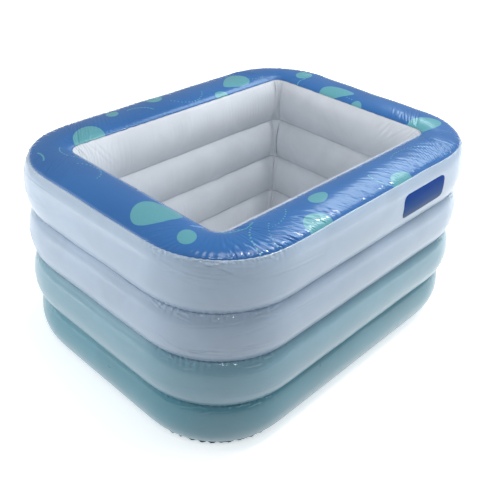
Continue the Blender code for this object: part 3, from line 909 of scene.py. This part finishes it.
def pressed_at_valve(g, ring):
    """The film lies flat under the valve's flange, which is welded to it."""
    c, n, _ = valve_frame(ring)
    c, n = np.array(c), np.array(n)
    d = g - c
    h = d @ n
    r = np.linalg.norm(d - h[..., None] * n, axis=2)
    on = (g[..., 0] > 0.5) & (r < 0.06)
    k = np.clip((r - (FLANGE_R + 0.0030)) / 0.024, 0, 1)
    k = k * k * (3 - 2 * k)
    ridge = 0.0005 * np.exp(-((r - FLANGE_R - 0.0016) / 0.0011) ** 2)
    target = h * k + ridge
    out = g.copy()
    out[on] = (g + (target - h)[..., None] * n)[on]
    return out


def inner_skin(ring):
    t = seam_rows(36, 0.5)
    top, bottom = SEAM_Z[ring], SEAM_Z[ring + 1]
    base = np.empty((len(t), IC.n, 3))
    (o0, u0), (o1, u1) = IN_WOBBLE[ring], IN_WOBBLE[ring + 1]
    for j, u in enumerate(t):
        f0, f1 = (1 - u) ** 3, u ** 3
        off = 1.3 * IN_BULGE * (4 * u * (1 - u)) ** 0.85      # fuller in the middle than the solid
        base[j, :, :2] = IN0 - IC.dirs * (off + o0 * f0 + o1 * f1)[:, None]
        base[j, :, 2] = top + (bottom - top) * u + (u0 * f0 if ring else 0.0) + (u1 * f1 if ring < 3 else 0.0)
    c = corner_weight(IC, 26)
    rest = np.linalg.norm(np.roll(IN0, -1, axis=0) - IN0, axis=1)
    mid = np.linalg.norm(np.roll(base, -1, axis=1) - base, axis=2)
    ratio = rest[None, :] / mid - 1
    ratio = blur_round(ratio, 6.0)
    slow = 0.5 + 0.5 * round_noise(IS, ITOTAL, 0.2, 400 + ring)
    bell = 4 * t * (1 - t)
    extra = 0.35 * ratio + (0.002 + 0.004 * slow + 0.05 * c)[None, :] * bell[:, None]
    rng = np.random.default_rng(70 + ring)
    size = 0.0004 * rng.standard_normal((1, IC.n)) * (0.2 + 18 * extra)
    size = size + 0.0002 * rng.standard_normal((len(t), IC.n)) * (0.2 + 18 * extra)
    size[0] = size[-1] = 0
    n3 = -IN_DIR3[None]
    g = wrinkled(base, extra, n3 * size[..., None], 2.0e-5, steps=24, cap=0.006)
    g = g + n3 * (corner_folds(ring, t) + corner_fans(ring, t * (top - bottom) * 1.1))[..., None]
    last = IN_DIR3 - (0.2 * UP if ring < 3 else 0.0)
    g[..., 2] = np.maximum(g[..., 2], 0.0008)
    return g, tucked(g, None if ring == 0 else IN_DIR3 + 0.2 * UP, last)


def corner_folds(ring, t):
    """The upright folds in the corners of the bath, where the spare film of the
    bulge gathers: two narrow valleys with a soft ridge between them."""
    h = np.zeros((len(t), IC.n))
    rng = np.random.default_rng(90 + ring)
    corners = ((0.466, 0.320), (-0.466, 0.320), (-0.466, -0.320), (0.466, -0.320))
    for k, (x, y) in enumerate(corners):
        mid = IS[np.argmin(np.hypot(IN0[:, 0] - x, IN0[:, 1] - y))]
        if k == 0:
            lines = (((0.019, 0.0115), (-0.019, 0.0125)), ((0.019, 0.0100), (-0.020, 0.0125)),
                     ((-0.005, 0.0125),), ((-0.005, 0.0115),))[ring]
        else:
            lines = ((rng.uniform(-0.012, 0.004), rng.uniform(0.0025, 0.004)),
                     (rng.uniform(0.010, 0.022), rng.uniform(0.0015, 0.003)))
        for off, depth in lines:
            sway = rng.uniform(-0.004, 0.004)
            centre = mid + off + sway * np.sin(math.pi * t * rng.uniform(0.8, 1.6))
            ds = (IS[None, :] - centre[:, None] + ITOTAL / 2) % ITOTAL - ITOTAL / 2
            w = (0.0017 if k == 0 else 0.0014) + 0.0008 * np.abs(2 * t[:, None] - 1)
            env = np.minimum(1.0, 7 * t * (1 - t))[:, None]
            h += env * (-depth * np.exp(-(ds / w) ** 2) + 0.35 * depth * np.exp(-(ds / (3.2 * w)) ** 2))
    return h


def corner_fans(ring, z):
    """Fine wrinkles of the liner next to the corners of the bath, where the film
    comes off the weld fuller than the wall is long.  They fan out from the top of
    the corner and lean away from it."""
    h = np.zeros((len(z), IC.n))
    rng = np.random.default_rng(130 + ring)
    amount = (1.35, 0.8, 0.6, 0.5)[ring]
    # corner, from and to (metres round the bath from the corner), pitch, lean
    for k, (x, y, a, b, pitch, lean, reach, width, depth, rise) in enumerate((
            (-0.466, 0.320, -0.085, -0.006, 0.0075, (-0.75, -0.20), 0.046, 0.0022, 0.0021, 0.20),
            (-0.466, 0.320, -0.175, -0.080, 0.0160, (0.25, 0.80), 0.050, 0.0026, 0.0014, 0.30),
            (0.466, -0.320, 0.010, 0.130, 0.0080, (0.35, 1.05), 0.044, 0.0023, 0.0021, 0.20),
            (0.466, -0.320, 0.110, 0.200, 0.0140, (-0.40, 0.60), 0.040, 0.0025, 0.0012, 0.35),
            (0.466, 0.320, -0.125, -0.030, 0.0095, (-0.16, 0.10), 0.070, 0.0024, 0.0016, 0.45),
            (0.466, 0.320, 0.030, 0.080, 0.0110, (-0.10, 0.25), 0.050, 0.0024, 0.0012, 0.35),
            (-0.466, -0.320, -0.080, 0.080, 0.0110, (-0.50, 0.50), 0.044, 0.0024, 0.0014, 0.25))):
        mid = IS[np.argmin(np.hypot(IN0[:, 0] - x, IN0[:, 1] - y))]
        starts, at = [], mid + a
        while at < mid + b:
            starts.append(at % ITOTAL)
            at += pitch * rng.uniform(0.5, 1.5)
        h += pleats(IS, ITOTAL, z, 140 + 10 * ring + k, starts, reach, width, depth * amount, lean, 0.0, rise)
        if ring:
            h += 0.5 * pleats(IS, ITOTAL, z[-1] - z, 180 + 10 * ring + k, starts[::2], 0.5 * reach, width,
                              depth * amount, (-0.5, 0.5), 0.0, rise)
    h[0] = h[-1] = 0
    return h


def lip_rows(g):
    """The narrow margin where the liner is welded to the rim: it stands between
    the two films, so it leans over the bath."""
    s = IS
    wob = 0.0005 * round_noise(s, ITOTAL, 0.05, 501, 0.5, 30)
    tall = 0.25 + 0.75 * blur_round(np.clip(-IC.dirs[:, 1], 0, 1)[None], 12)[0]
    rows = []
    for up, inward in ((0.0038, 0.0030), (0.0026, 0.0021), (0.0013, 0.0010)):
        rows.append(g[0] + UP * (up * tall + wob)[:, None] - IN_DIR3 * (inward * tall)[:, None])
    return np.concatenate([np.stack(rows), g])


def declare(ob, node, more=()):
    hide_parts(node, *more)
    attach(ob, "tub")


def build_tub():
    skins = (
        vinyl("skin_white_1", (0.432, 0.545, 0.680)),
        # ring 2 is the same white film as ring 1 (both fill the skin_white slot): this darker copy of the white is
        # painted shade
        vinyl("skin_white_painted_shade", (0.390, 0.496, 0.625)),
        vinyl("skin_aqua", (0.208, 0.382, 0.470)),
        vinyl("skin_teal", (0.093, 0.276, 0.350)),
    )
    slots = ("skin_white", "skin_white", "skin_aqua", "skin_teal")
    liner = vinyl("liner_grey", (0.760, 0.792, 0.840), rough=(0.28, 0.38), coat=0.20)
    ob = grid_object("rim", rim_film(), rim_material(), flip=True)
    declare(ob, "rim_film")
    for ring in range(4):
        c, n, _ = valve_frame(ring)
        c, n = np.array(c), np.array(n)

        def hole(p, c=c, n=n):
            d = p - c
            h = d @ n
            return (np.linalg.norm(d - h[:, None] * n, axis=1) < 0.0125) & (np.abs(h) < 0.02)

        ob = grid_object("outer_skin_%d" % (ring + 1), outer_skin(ring), skins[ring], skip=hole)
        declare(ob, "ring_%d_outer_skin" % (ring + 1))
        g, full = inner_skin(ring)
        if ring == 0:
            full = np.concatenate([lip_rows(g), full[-1:]])
        ob = grid_object("inner_skin_%d" % (ring + 1), full, liner, flip=True)
        declare(ob, "ring_%d_inner_skin" % (ring + 1))
    side_patch(slots)


def side_patch(slots):
    """The rounded film patch on the near long side, welded flat on the bulge."""
    w, h, r = PATCH_X[1] - PATCH_X[0], PATCH_Z[1] - PATCH_Z[0], PATCH_R
    nx, nz = 72, 28
    span = SEAM_Z[0] - SEAM_Z[1]
    bm = bmesh.new()
    rows = []
    for j in range(nz + 1):
        v = j / nz
        z = PATCH_Z[0] + h * v
        edge = min(v, 1 - v) * h
        inset = r - math.sqrt(max(r * r - (r - edge) ** 2, 0.0)) if edge < r else 0.0
        row = []
        for i in range(nx + 1):
            x = PATCH_X[0] + inset + (w - 2 * inset) * i / nx
            t = (SEAM_Z[0] - z) / span
            off = float(swell(np.array(t), OUT_BULGE[0]))
            d = min(x - PATCH_X[0], PATCH_X[1] - x, edge)
            lift = 0.0007 - 0.0006 * math.exp(-max(d, 0.0) / 0.0012)
            row.append(bm.verts.new((x, -(HALF_W + off + lift), z)))
        rows.append(row)
    for a, b in zip(rows, rows[1:]):
        for i in range(nx):
            try:
                bm.faces.new((a[i], a[i + 1], b[i + 1], b[i]))
            except ValueError:
                pass
    bmesh.ops.remove_doubles(bm, verts=bm.verts, dist=0.00001)
    mesh = bpy.data.meshes.new("patch")
    bm.to_mesh(mesh)
    bm.free()
    mesh.shade_smooth()
    mesh.materials.append(patch_material())
    ob = bpy.data.objects.new("patch", mesh)
    bpy.context.scene.collection.objects.link(ob)
    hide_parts("side_patch")
    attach(ob, "tub")


# ------------------------------------------------- floor, base, valves, drain
def plain_object(name, verts, faces, mat):
    mesh = bpy.data.meshes.new(name)
    mesh.from_pydata([tuple(map(float, v)) for v in verts], [], [tuple(map(int, f)) for f in faces])
    mesh.validate()
    mesh.shade_smooth()
    mesh.materials.append(mat)
    ob = bpy.data.objects.new(name, mesh)
    bpy.context.scene.collection.objects.link(ob)
    return ob


def thickened(ob, thickness, offset=-1.0):
    mod = ob.modifiers.new("thickness", "SOLIDIFY")
    mod.thickness = thickness
    mod.offset = offset
    bpy.context.view_layer.update()
    old = ob.data
    ob.data = bpy.data.meshes.new_from_object(ob.evaluated_get(bpy.context.evaluated_depsgraph_get()))
    ob.modifiers.clear()
    bpy.data.meshes.remove(old)
    return ob


def line_steps(low, high, step):
    return np.linspace(low, high, max(2, int(round((high - low) / step)) + 1))


def weld_spots():
    """Staggered spot welds of the inflated floor, clear of its edge, drain and valve."""
    spots = []
    for j in range(-3, 4):
        y = 0.088 * j
        for i in range(-5, 6):
            x = 0.102 * (i + (0.5 if j % 2 else 0.0))
            if abs(x) > 0.402 or abs(y) > 0.268:
                continue
            if math.hypot(x - DRAIN[0], y - DRAIN[1]) < WELL_R + 0.036:
                continue
            if math.hypot(x - FLOOR_VALVE[0], y - FLOOR_VALVE[1]) < 0.052:
                continue
            spots.append((x, y))
    return spots


def floor_film(liner):
    """The inflated floor: film rounded up from its weld at the foot of the wall and
    drawn down to the base sheet at each spot weld, with creases round the welds."""
    half = np.array((HALF_L - WALL - 0.003, HALF_W - WALL - 0.003))
    r = INNER_R - 0.003
    axes = []
    for h in half:
        mid = line_steps(-(h - r), h - r, 0.0036)
        side = np.linspace(0, 1, 13)[1:] * r
        axes.append(np.concatenate([-(h - r) - side[::-1], mid, (h - r) + side]))
    x, y = np.meshgrid(axes[0], axes[1], indexing="ij")
    # the corner squares are drawn onto quarter discs
    a = np.clip((np.abs(x) - (half[0] - r)) / r, 0, 1)
    b = np.clip((np.abs(y) - (half[1] - r)) / r, 0, 1)
    corner = (a > 0) & (b > 0)
    cx = np.sign(x) * ((half[0] - r) + r * a * np.sqrt(1 - b * b / 2))
    cy = np.sign(y) * ((half[1] - r) + r * b * np.sqrt(1 - a * a / 2))
    x, y = np.where(corner, cx, x), np.where(corner, cy, y)
    # round holes for the drain well and the valve
    for (hx, hy), hr in ((DRAIN, WELL_R), (FLOOR_VALVE, 0.0125)):
        d = np.hypot(x - hx, y - hy)
        snap = np.abs(d - hr) < 0.0019
        k = np.where(snap, hr / np.maximum(d, 1e-9), 1.0)
        x, y = hx + (x - hx) * k, hy + (y - hy) * k
    qx, qy = np.abs(x) - (half[0] - r), np.abs(y) - (half[1] - r)
    edge = r - (np.hypot(np.maximum(qx, 0), np.maximum(qy, 0)) + np.minimum(np.maximum(qx, qy), 0))
    edge = np.maximum(edge, 0)
    u = np.clip(edge / 0.064, 0, 1)
    rise = 1 - (1 - u) ** 2.9
    rng = np.random.default_rng(900)
    creases = np.zeros_like(x)
    calm = np.ones_like(x)
    for (hx, hy), near_r, far_r in ((DRAIN, WELL_R + 0.004, WELL_R + 0.026), (FLOOR_VALVE, 0.024, 0.050)):
        k = np.clip((np.hypot(x - hx, y - hy) - near_r) / (far_r - near_r), 0, 1)
        calm *= k * k * (3 - 2 * k)
    for wx, wy in weld_spots():
        wx, wy = wx + rng.uniform(-0.002, 0.002), wy + rng.uniform(-0.002, 0.002)
        d = np.hypot(x - wx, y - wy)
        rise *= 1 - 0.96 * (1 - np.clip((d - 0.0085) / 0.046, 0, 1)) ** 2.6
        ang = np.arctan2(y - wy, x - wx)
        n = rng.integers(7, 10)
        wave = np.cos(n * ang + rng.uniform(0, 6.28) + 0.7 * np.sin(2 * ang + rng.uniform(0, 6.28)))
        wave = wave + 0.4 * np.cos((n + 5) * ang + rng.uniform(0, 6.28))
        creases += 0.0011 * wave * np.exp(-((d - 0.020) / 0.013) ** 2) * (d > 0.006)
    # gathers along the weld at the foot of the wall
    along = np.where(qy > qx, x, y)
    gather = np.zeros_like(x)
    for _ in range(16):
        k = 2 * math.pi / rng.uniform(0.010, 0.030)
        gather += np.cos(k * along + rng.uniform(0, 6.28))
    creases += 0.00028 * gather * np.exp(-((edge - 0.012) / 0.012) ** 2)
    slow = np.zeros_like(x)
    for _ in range(8):
        ang, k = rng.uniform(0, 6.28), 2 * math.pi / rng.uniform(0.08, 0.2)
        slow += np.cos(k * (x * math.cos(ang) + y * math.sin(ang)) + rng.uniform(0, 6.28))
    z = 0.0014 + (FLOOR_TOP - 0.0014 - 0.0012) * rise + calm * (creases * np.minimum(1, 3 * rise) + 0.0003 * slow)
    flat = 0.0399
    z = np.where(np.minimum(np.hypot(x - DRAIN[0], y - DRAIN[1]) - WELL_R,
                            np.hypot(x - FLOOR_VALVE[0], y - FLOOR_VALVE[1]) - 0.024) < 0.03,
                 flat + (z - flat) * calm, z)
    z = np.minimum(z, 0.0402)
    grid = np.stack([x, y, z], -1)
    rows, cols = x.shape
    idx = np.arange(rows * cols).reshape(rows, cols)
    faces = np.stack([idx[:-1, :-1], idx[1:, :-1], idx[1:, 1:], idx[:-1, 1:]], -1).reshape(-1, 4)
    verts = grid.reshape(-1, 3)
    mid = verts[faces].mean(1)
    keep = (np.hypot(mid[:, 0] - DRAIN[0], mid[:, 1] - DRAIN[1]) > WELL_R) & \
        (np.hypot(mid[:, 0] - FLOOR_VALVE[0], mid[:, 1] - FLOOR_VALVE[1]) > 0.0125)
    faces = faces[keep]
    used = np.unique(faces)
    back = np.full(len(verts), -1)
    back[used] = np.arange(len(used))
    ob = plain_object("floor", verts[used], back[faces], liner)
    mesh = ob.data
    layer = mesh.uv_layers.new(name="OFBake")
    co = verts[used]
    loops = np.empty(len(mesh.loops), dtype=np.int32)
    mesh.loops.foreach_get("vertex_index", loops)
    uv = np.stack([0.5 + co[loops, 0] / 0.96, 0.5 + co[loops, 1] / 0.96], -1)
    layer.data.foreach_set("uv", uv.astype(np.float32).ravel())
    declare(ob, "floor_film")


def turned_object(name, profile, place, mat, sides=64, soft=0.0004, wobble=None, close=False):
    """A surface of revolution round +Z of place.  Corners of the profile are
    rounded off by soft."""
    pts = [np.array(p, float) for p in profile]
    out = []
    for i, p in enumerate(pts):
        if not close and i in (0, len(pts) - 1):
            out.append(p)
            continue
        a, b = pts[i - 1] - p, pts[(i + 1) % len(pts)] - p
        la, lb = np.linalg.norm(a), np.linalg.norm(b)
        c = float(a @ b) / (la * lb + 1e-12)
        cut = min(soft, 0.35 * la, 0.35 * lb)
        if c < -0.995 or cut < 1e-5:
            out.append(p)
            continue
        p0, p1 = p + a / la * cut, p + b / lb * cut
        for f in (0.0, 0.25, 0.5, 0.75, 1.0):
            out.append((1 - f) ** 2 * p0 + 2 * f * (1 - f) * p + f * f * p1)
    verts, rows = [], []
    for r, z in out:
        if r < 1e-6:
            rows.append([len(verts)] * sides)
            verts.append((0, 0, z))
            continue
        row = []
        for k in range(sides):
            a = 2 * math.pi * k / sides
            dr, dz = wobble(a, r, z) if wobble else (0.0, 0.0)
            row.append(len(verts))
            verts.append(((r + dr) * math.cos(a), (r + dr) * math.sin(a), z + dz))
        rows.append(row)
    faces = []
    pairs = list(zip(rows, rows[1:])) + ([(rows[-1], rows[0])] if close else [])
    for a, b in pairs:
        for k in range(sides):
            m = (k + 1) % sides
            f = [a[k], a[m], b[m], b[k]]
            f = [v for i, v in enumerate(f) if v != f[i - 1]]
            if len(f) > 2:
                faces.append(f)
    ob = plain_object(name, verts, faces, mat)
    bm = bmesh.new()
    bm.from_mesh(ob.data)
    bmesh.ops.recalc_face_normals(bm, faces=bm.faces)
    bm.to_mesh(ob.data)
    bm.free()
    ob.data.transform(place)
    return ob


def joined(first, *others):
    bm = bmesh.new()
    bm.from_mesh(first.data)
    for o in others:
        bm.from_mesh(o.data)
        bpy.data.objects.remove(o)
    bm.to_mesh(first.data)
    bm.free()
    first.data.shade_smooth()
    return first


def slab(name, outline, z0, z1, soft, place, mat):
    """A flat moulding of any outline with rounded edges."""
    pts = np.array(outline)
    n = len(pts)
    d = np.roll(pts, -1, axis=0) - np.roll(pts, 1, axis=0)
    nrm = np.stack([d[:, 1], -d[:, 0]], -1)
    nrm /= np.linalg.norm(nrm, axis=1, keepdims=True)
    rows = []
    for k in range(5):
        a = math.pi / 2 * k / 4
        rows.append((-soft * (1 - math.sin(a)), z0 + soft * (1 - math.cos(a))))
    for k in range(5):
        a = math.pi / 2 * k / 4
        rows.append((-soft * (1 - math.cos(a)), z1 - soft * (1 - math.sin(a))))
    verts, faces = [], []
    for inset, z in rows:
        for p in pts + nrm * inset:
            verts.append((p[0], p[1], z))
    for j in range(len(rows) - 1):
        for k in range(n):
            m = (k + 1) % n
            faces.append((j * n + k, j * n + m, (j + 1) * n + m, (j + 1) * n + k))
    faces.append(tuple(range(n))[::-1])
    faces.append(tuple(range((len(rows) - 1) * n, len(rows) * n)))
    ob = plain_object(name, verts, faces, mat)
    bm = bmesh.new()
    bm.from_mesh(ob.data)
    bmesh.ops.recalc_face_normals(bm, faces=bm.faces)
    bm.to_mesh(ob.data)
    bm.free()
    ob.data.transform(place)
    return ob


def strap(name, path, across, thick, place, mat):
    """A narrow flat strap along a path, its flat side across the given vectors."""
    path = np.array(path, float)
    across = np.array(across, float)
    tangent = np.gradient(path, axis=0)
    tangent /= np.linalg.norm(tangent, axis=1, keepdims=True)
    across -= tangent * (across * tangent).sum(1)[:, None]
    across /= np.linalg.norm(across, axis=1, keepdims=True)
    up = np.cross(tangent, across)
    sides = 12
    verts, faces = [], []
    for p, a, u in zip(path, across, up):
        for k in range(sides):
            f = 2 * math.pi * k / sides
            c, s_ = math.cos(f), math.sin(f)
            verts.append(p + a * 0.0013 * math.copysign(abs(c) ** 0.5, c) + u * thick / 2 * math.copysign(abs(s_) ** 0.6, s_))
    for j in range(len(path) - 1):
        for k in range(sides):
            m = (k + 1) % sides
            faces.append((j * sides + k, j * sides + m, (j + 1) * sides + m, (j + 1) * sides + k))
    faces.append(tuple(range(sides))[::-1])
    faces.append(tuple(range((len(path) - 1) * sides, len(path) * sides)))
    ob = plain_object(name, verts, faces, mat)
    bm = bmesh.new()
    bm.from_mesh(ob.data)
    bmesh.ops.recalc_face_normals(bm, faces=bm.faces)
    bm.to_mesh(ob.data)
    bm.free()
    ob.data.transform(place)
    return ob


def moulded(name, colour, rough, coat=0.15):
    """Moulded soft vinyl: a fine orange-peel skin with a slightly uneven gloss."""
    n = Nodes(name)
    big = n.noise(60.0, 2.0, 0.5)
    small = n.noise(900.0, 2.0, 0.5)
    c = n.mix(n.ramp(big, 0.3, 0.7), tuple(v * 0.93 for v in colour), colour)
    r = n.map(big, 0.3, 0.7, rough, rough + 0.10)
    n.shader.inputs["Coat Weight"].default_value = coat
    n.shader.inputs["Coat Roughness"].default_value = 0.15
    n.shader.inputs["Subsurface Weight"].default_value = 0.15
    n.shader.inputs["Subsurface Radius"].default_value = (0.003, 0.003, 0.003)
    return n.finish(c, r, n.bump(small, 0.12, 0.0002, n.bump(big, 0.15, 0.0006)))


def frame_matrix(origin, side, up, normal):
    m = Matrix.Identity(4)
    for i, axis in enumerate((side, up, normal, origin)):
        for j in range(3):
            m[j][i] = axis[j]
    return m


def valve(prefix, place, mats):
    body_mat, plug_mat = mats
    body = turned_object(prefix + "_valve", (
        (FLANGE_R, 0.0003), (FLANGE_R, 0.0009), (0.0170, 0.0011), (0.0095, 0.0015), (0.0088, 0.0028),
        (0.0062, 0.0028), (0.0062, -0.0180), (0.0078, -0.0180), (0.0078, 0.0003)), place, body_mat, 56,
        0.0003, close=True)
    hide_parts(prefix + "_valve_body")
    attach(body, "tub")
    plug = turned_object(prefix + "_plug", (
        (0.0, -0.0110), (0.0051, -0.0110), (0.0059, -0.0090), (0.0059, 0.0031), (0.0100, 0.0031),
        (0.0100, 0.0044), (0.0092, 0.0050), (0.0062, 0.0050), (0.0056, 0.0046), (0.0, 0.0046)),
        place, plug_mat, 56, 0.0004)
    outline = [(0.0150 + 0.0035 * math.cos(a), 0.0035 * math.sin(a))
               for a in np.linspace(-math.pi / 2, math.pi / 2, 17)]
    outline += [(x, 0.0035) for x in (0.0130, 0.0110, 0.0090, 0.0070)]
    outline += [(x, -0.0035) for x in (0.0070, 0.0090, 0.0110, 0.0130)]
    tab = slab(prefix + "_tab", outline, 0.0033, 0.0043, 0.0003, place, plug_mat)
    ridges = [slab(prefix + "_grip%d" % i, [(x + 0.00045 * math.cos(a), 0.0022 * math.sin(a))
                                          for a in np.linspace(0, 2 * math.pi, 17)[:-1]],
                   0.0041, 0.0047, 0.0002, place, plug_mat) for i, x in enumerate((0.0130, 0.0146, 0.0162))]
    plug = joined(plug, tab, *ridges)
    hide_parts(prefix + "_valve_plug")
    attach(plug, prefix + "_plug")
    # the strap that keeps the plug on the valve runs half round it
    path, across = [], []
    for f in np.linspace(0, 1, 40):
        a = math.radians(196 + 132 * f)
        radius = 0.0142 - 0.0050 * max(0.0, (f - 0.75) / 0.25) ** 2
        lift = 0.0013 + 0.0026 * min(1.0, f / 0.35) ** 1.5
        path.append((radius * math.cos(a), radius * math.sin(a), lift))
        across.append((math.cos(a), math.sin(a), 0.0))
    ob = strap(prefix + "_strap", path, across, 0.0009, place, plug_mat)
    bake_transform(ob)


def build_fittings():
    body = moulded("valve_vinyl", (0.55, 0.68, 0.76), 0.22)
    plug = moulded("plug_vinyl", (0.62, 0.70, 0.76), 0.28)
    flap = moulded("flap_vinyl", (0.55, 0.64, 0.70), 0.30)
    drain = moulded("drain_vinyl", (0.60, 0.68, 0.74), 0.24)
    for ring in range(4):
        c, n, up = valve_frame(ring)
        place = frame_matrix(c, up.cross(n), up, n)
        valve("ring_%d" % (ring + 1), place, (body, plug))
    valve("floor", Matrix.Translation((*FLOOR_VALVE, FLOOR_TOP + 0.0002)), (body, plug))
    place = Matrix.Translation((*DRAIN, 0.0))
    ob = turned_object("drain", (
        (0.0150, 0.0003), (0.0150, 0.0022), (0.0260, 0.0022), (0.0260, 0.0034), (0.0240, 0.0037),
        (0.0160, 0.0046), (0.0125, 0.0046), (0.0125, 0.0003)), place, drain, 72, 0.0004, close=True)
    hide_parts("drain_body")
    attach(ob, "tub")
    ob = turned_object("stopper", (
        (0.0, 0.0010), (0.0121, 0.0010), (0.0121, 0.0050), (0.0185, 0.0050), (0.0185, 0.0064),
        (0.0150, 0.0070), (0.0138, 0.0067), (0.0052, 0.0076), (0.0044, 0.0130), (0.0072, 0.0146),
        (0.0072, 0.0168), (0.0, 0.0176)), place, plug, 72, 0.0006)
    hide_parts("drain_stopper")
    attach(ob, "stopper")
    for name, node in NODES.items():
        if name.endswith("_check_flap"):
            node.data.materials.clear()
            node.data.materials.append(flap)


def well_sleeve(liner):
    rng = np.random.default_rng(950)
    phases = rng.uniform(0, 6.28, 4)

    def wobble(a, r, z):
        depth = max(0.0, min(1.0, (0.0395 - z) / 0.012)) * max(0.0, min(1.0, (z - 0.0014) / 0.010))
        wave = math.cos(11 * a + phases[0] + 0.5 * math.sin(2 * a + phases[1])) + 0.5 * math.cos(19 * a + phases[2])
        return 0.0007 * depth * wave, 0.00015 * math.cos(7 * a + phases[3]) * (1 if z > 0.02 else 0)

    place = Matrix.Translation((*DRAIN, 0.0))
    ob = turned_object("drain_well", (
        (0.0548, 0.0399), (0.0545, 0.0404), (0.0520, 0.0407), (0.0495, 0.0404), (0.0472, 0.0388),
        (0.0450, 0.0350), (0.0430, 0.0300), (0.0410, 0.0240), (0.0395, 0.0170), (0.0382, 0.0100),
        (0.0370, 0.0048), (0.0352, 0.0020), (0.0320, 0.0014), (0.0240, 0.0014), (0.0158, 0.0014)),
        place, liner, 120, 0.0010, wobble)
    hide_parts("drain_well_sleeve")
    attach(ob, "tub")


def base_sheet():
    """Flat sheet under the tub.  Its weld margin shows as a wavy edge round the foot."""
    cols = Columns(130, 190, 120)
    line = cols.outline(HALF_L - FOOT_INSET, HALF_W - FOOT_INSET, CORNER_R - FOOT_INSET)
    s, total = lengths_round(line)
    dirs = cols.dirs
    soft = corner_weight(cols, 14)
    wave = round_noise(s, total, 0.034, 700, 0.5, 40) * (0.35 + 0.65 * soft)
    lift = np.maximum(round_noise(s, total, 0.030, 701, 0.5, 40) * (0.3 + 0.7 * soft), -0.2) + 0.2
    bm = bmesh.new()
    rows = []
    for out, grow, up in ((0.0075, 1.0, 1.0), (0.0060, 0.8, 0.75), (0.0040, 0.5, 0.40), (0.0020, 0.2, 0.12),
                          (0.0, 0.0, 0.0), (-0.030, 0.0, 0.0)):
        xy = line + dirs * (out + 0.0022 * grow * wave)[:, None]
        z = BASE_T + 0.0030 * up * lift
        rows.append([bm.verts.new((x, y, h)) for (x, y), h in zip(xy, z)])
    for a, b in zip(rows, rows[1:]):
        for k in range(cols.n):
            m = (k + 1) % cols.n
            bm.faces.new((a[k], a[m], b[m], b[k]))
    last = rows[-1]
    hole = [bm.verts.new((DRAIN[0] + 0.0155 * math.cos(2 * math.pi * k / 48),
                          DRAIN[1] + 0.0155 * math.sin(2 * math.pi * k / 48), BASE_T)) for k in range(48)]
    edges = [bm.edges.get((v, last[(k + 1) % len(last)])) for k, v in enumerate(last)]
    edges += [bm.edges.new((v, hole[(k + 1) % 48])) for k, v in enumerate(hole)]
    bmesh.ops.triangle_fill(bm, edges=edges, use_beauty=True)
    bmesh.ops.recalc_face_normals(bm, faces=bm.faces)
    if sum(f.normal.z for f in bm.faces) < 0:
        bmesh.ops.reverse_faces(bm, faces=bm.faces)
    mesh = bpy.data.meshes.new("base")
    bm.to_mesh(mesh)
    bm.free()
    # the sheet's dark teal is partly its double layer of film and partly painted shade under the foot of the wall
    mesh.materials.append(vinyl("base_teal", (0.060, 0.170, 0.205), rough=(0.36, 0.48), coat=0.05))
    ob = bpy.data.objects.new("base", mesh)
    bpy.context.scene.collection.objects.link(ob)
    thickened(ob, BASE_T - 0.0001)
    ob.data.shade_smooth()
    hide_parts("base_sheet")
    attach(ob, "tub")


def build_rest():
    liner = bpy.data.materials["liner_grey"]
    floor_film(liner)
    well_sleeve(liner)
    base_sheet()
    web = vinyl("web_film", (0.60, 0.66, 0.72), rough=(0.34, 0.44), coat=0.05)
    for k in (1, 2, 3):
        node = NODES["partition_web_%d" % k]
        node.data.materials.clear()
        node.data.materials.append(web)
    build_fittings()


add_camera()
add_studio()
build_tub()
build_rest()
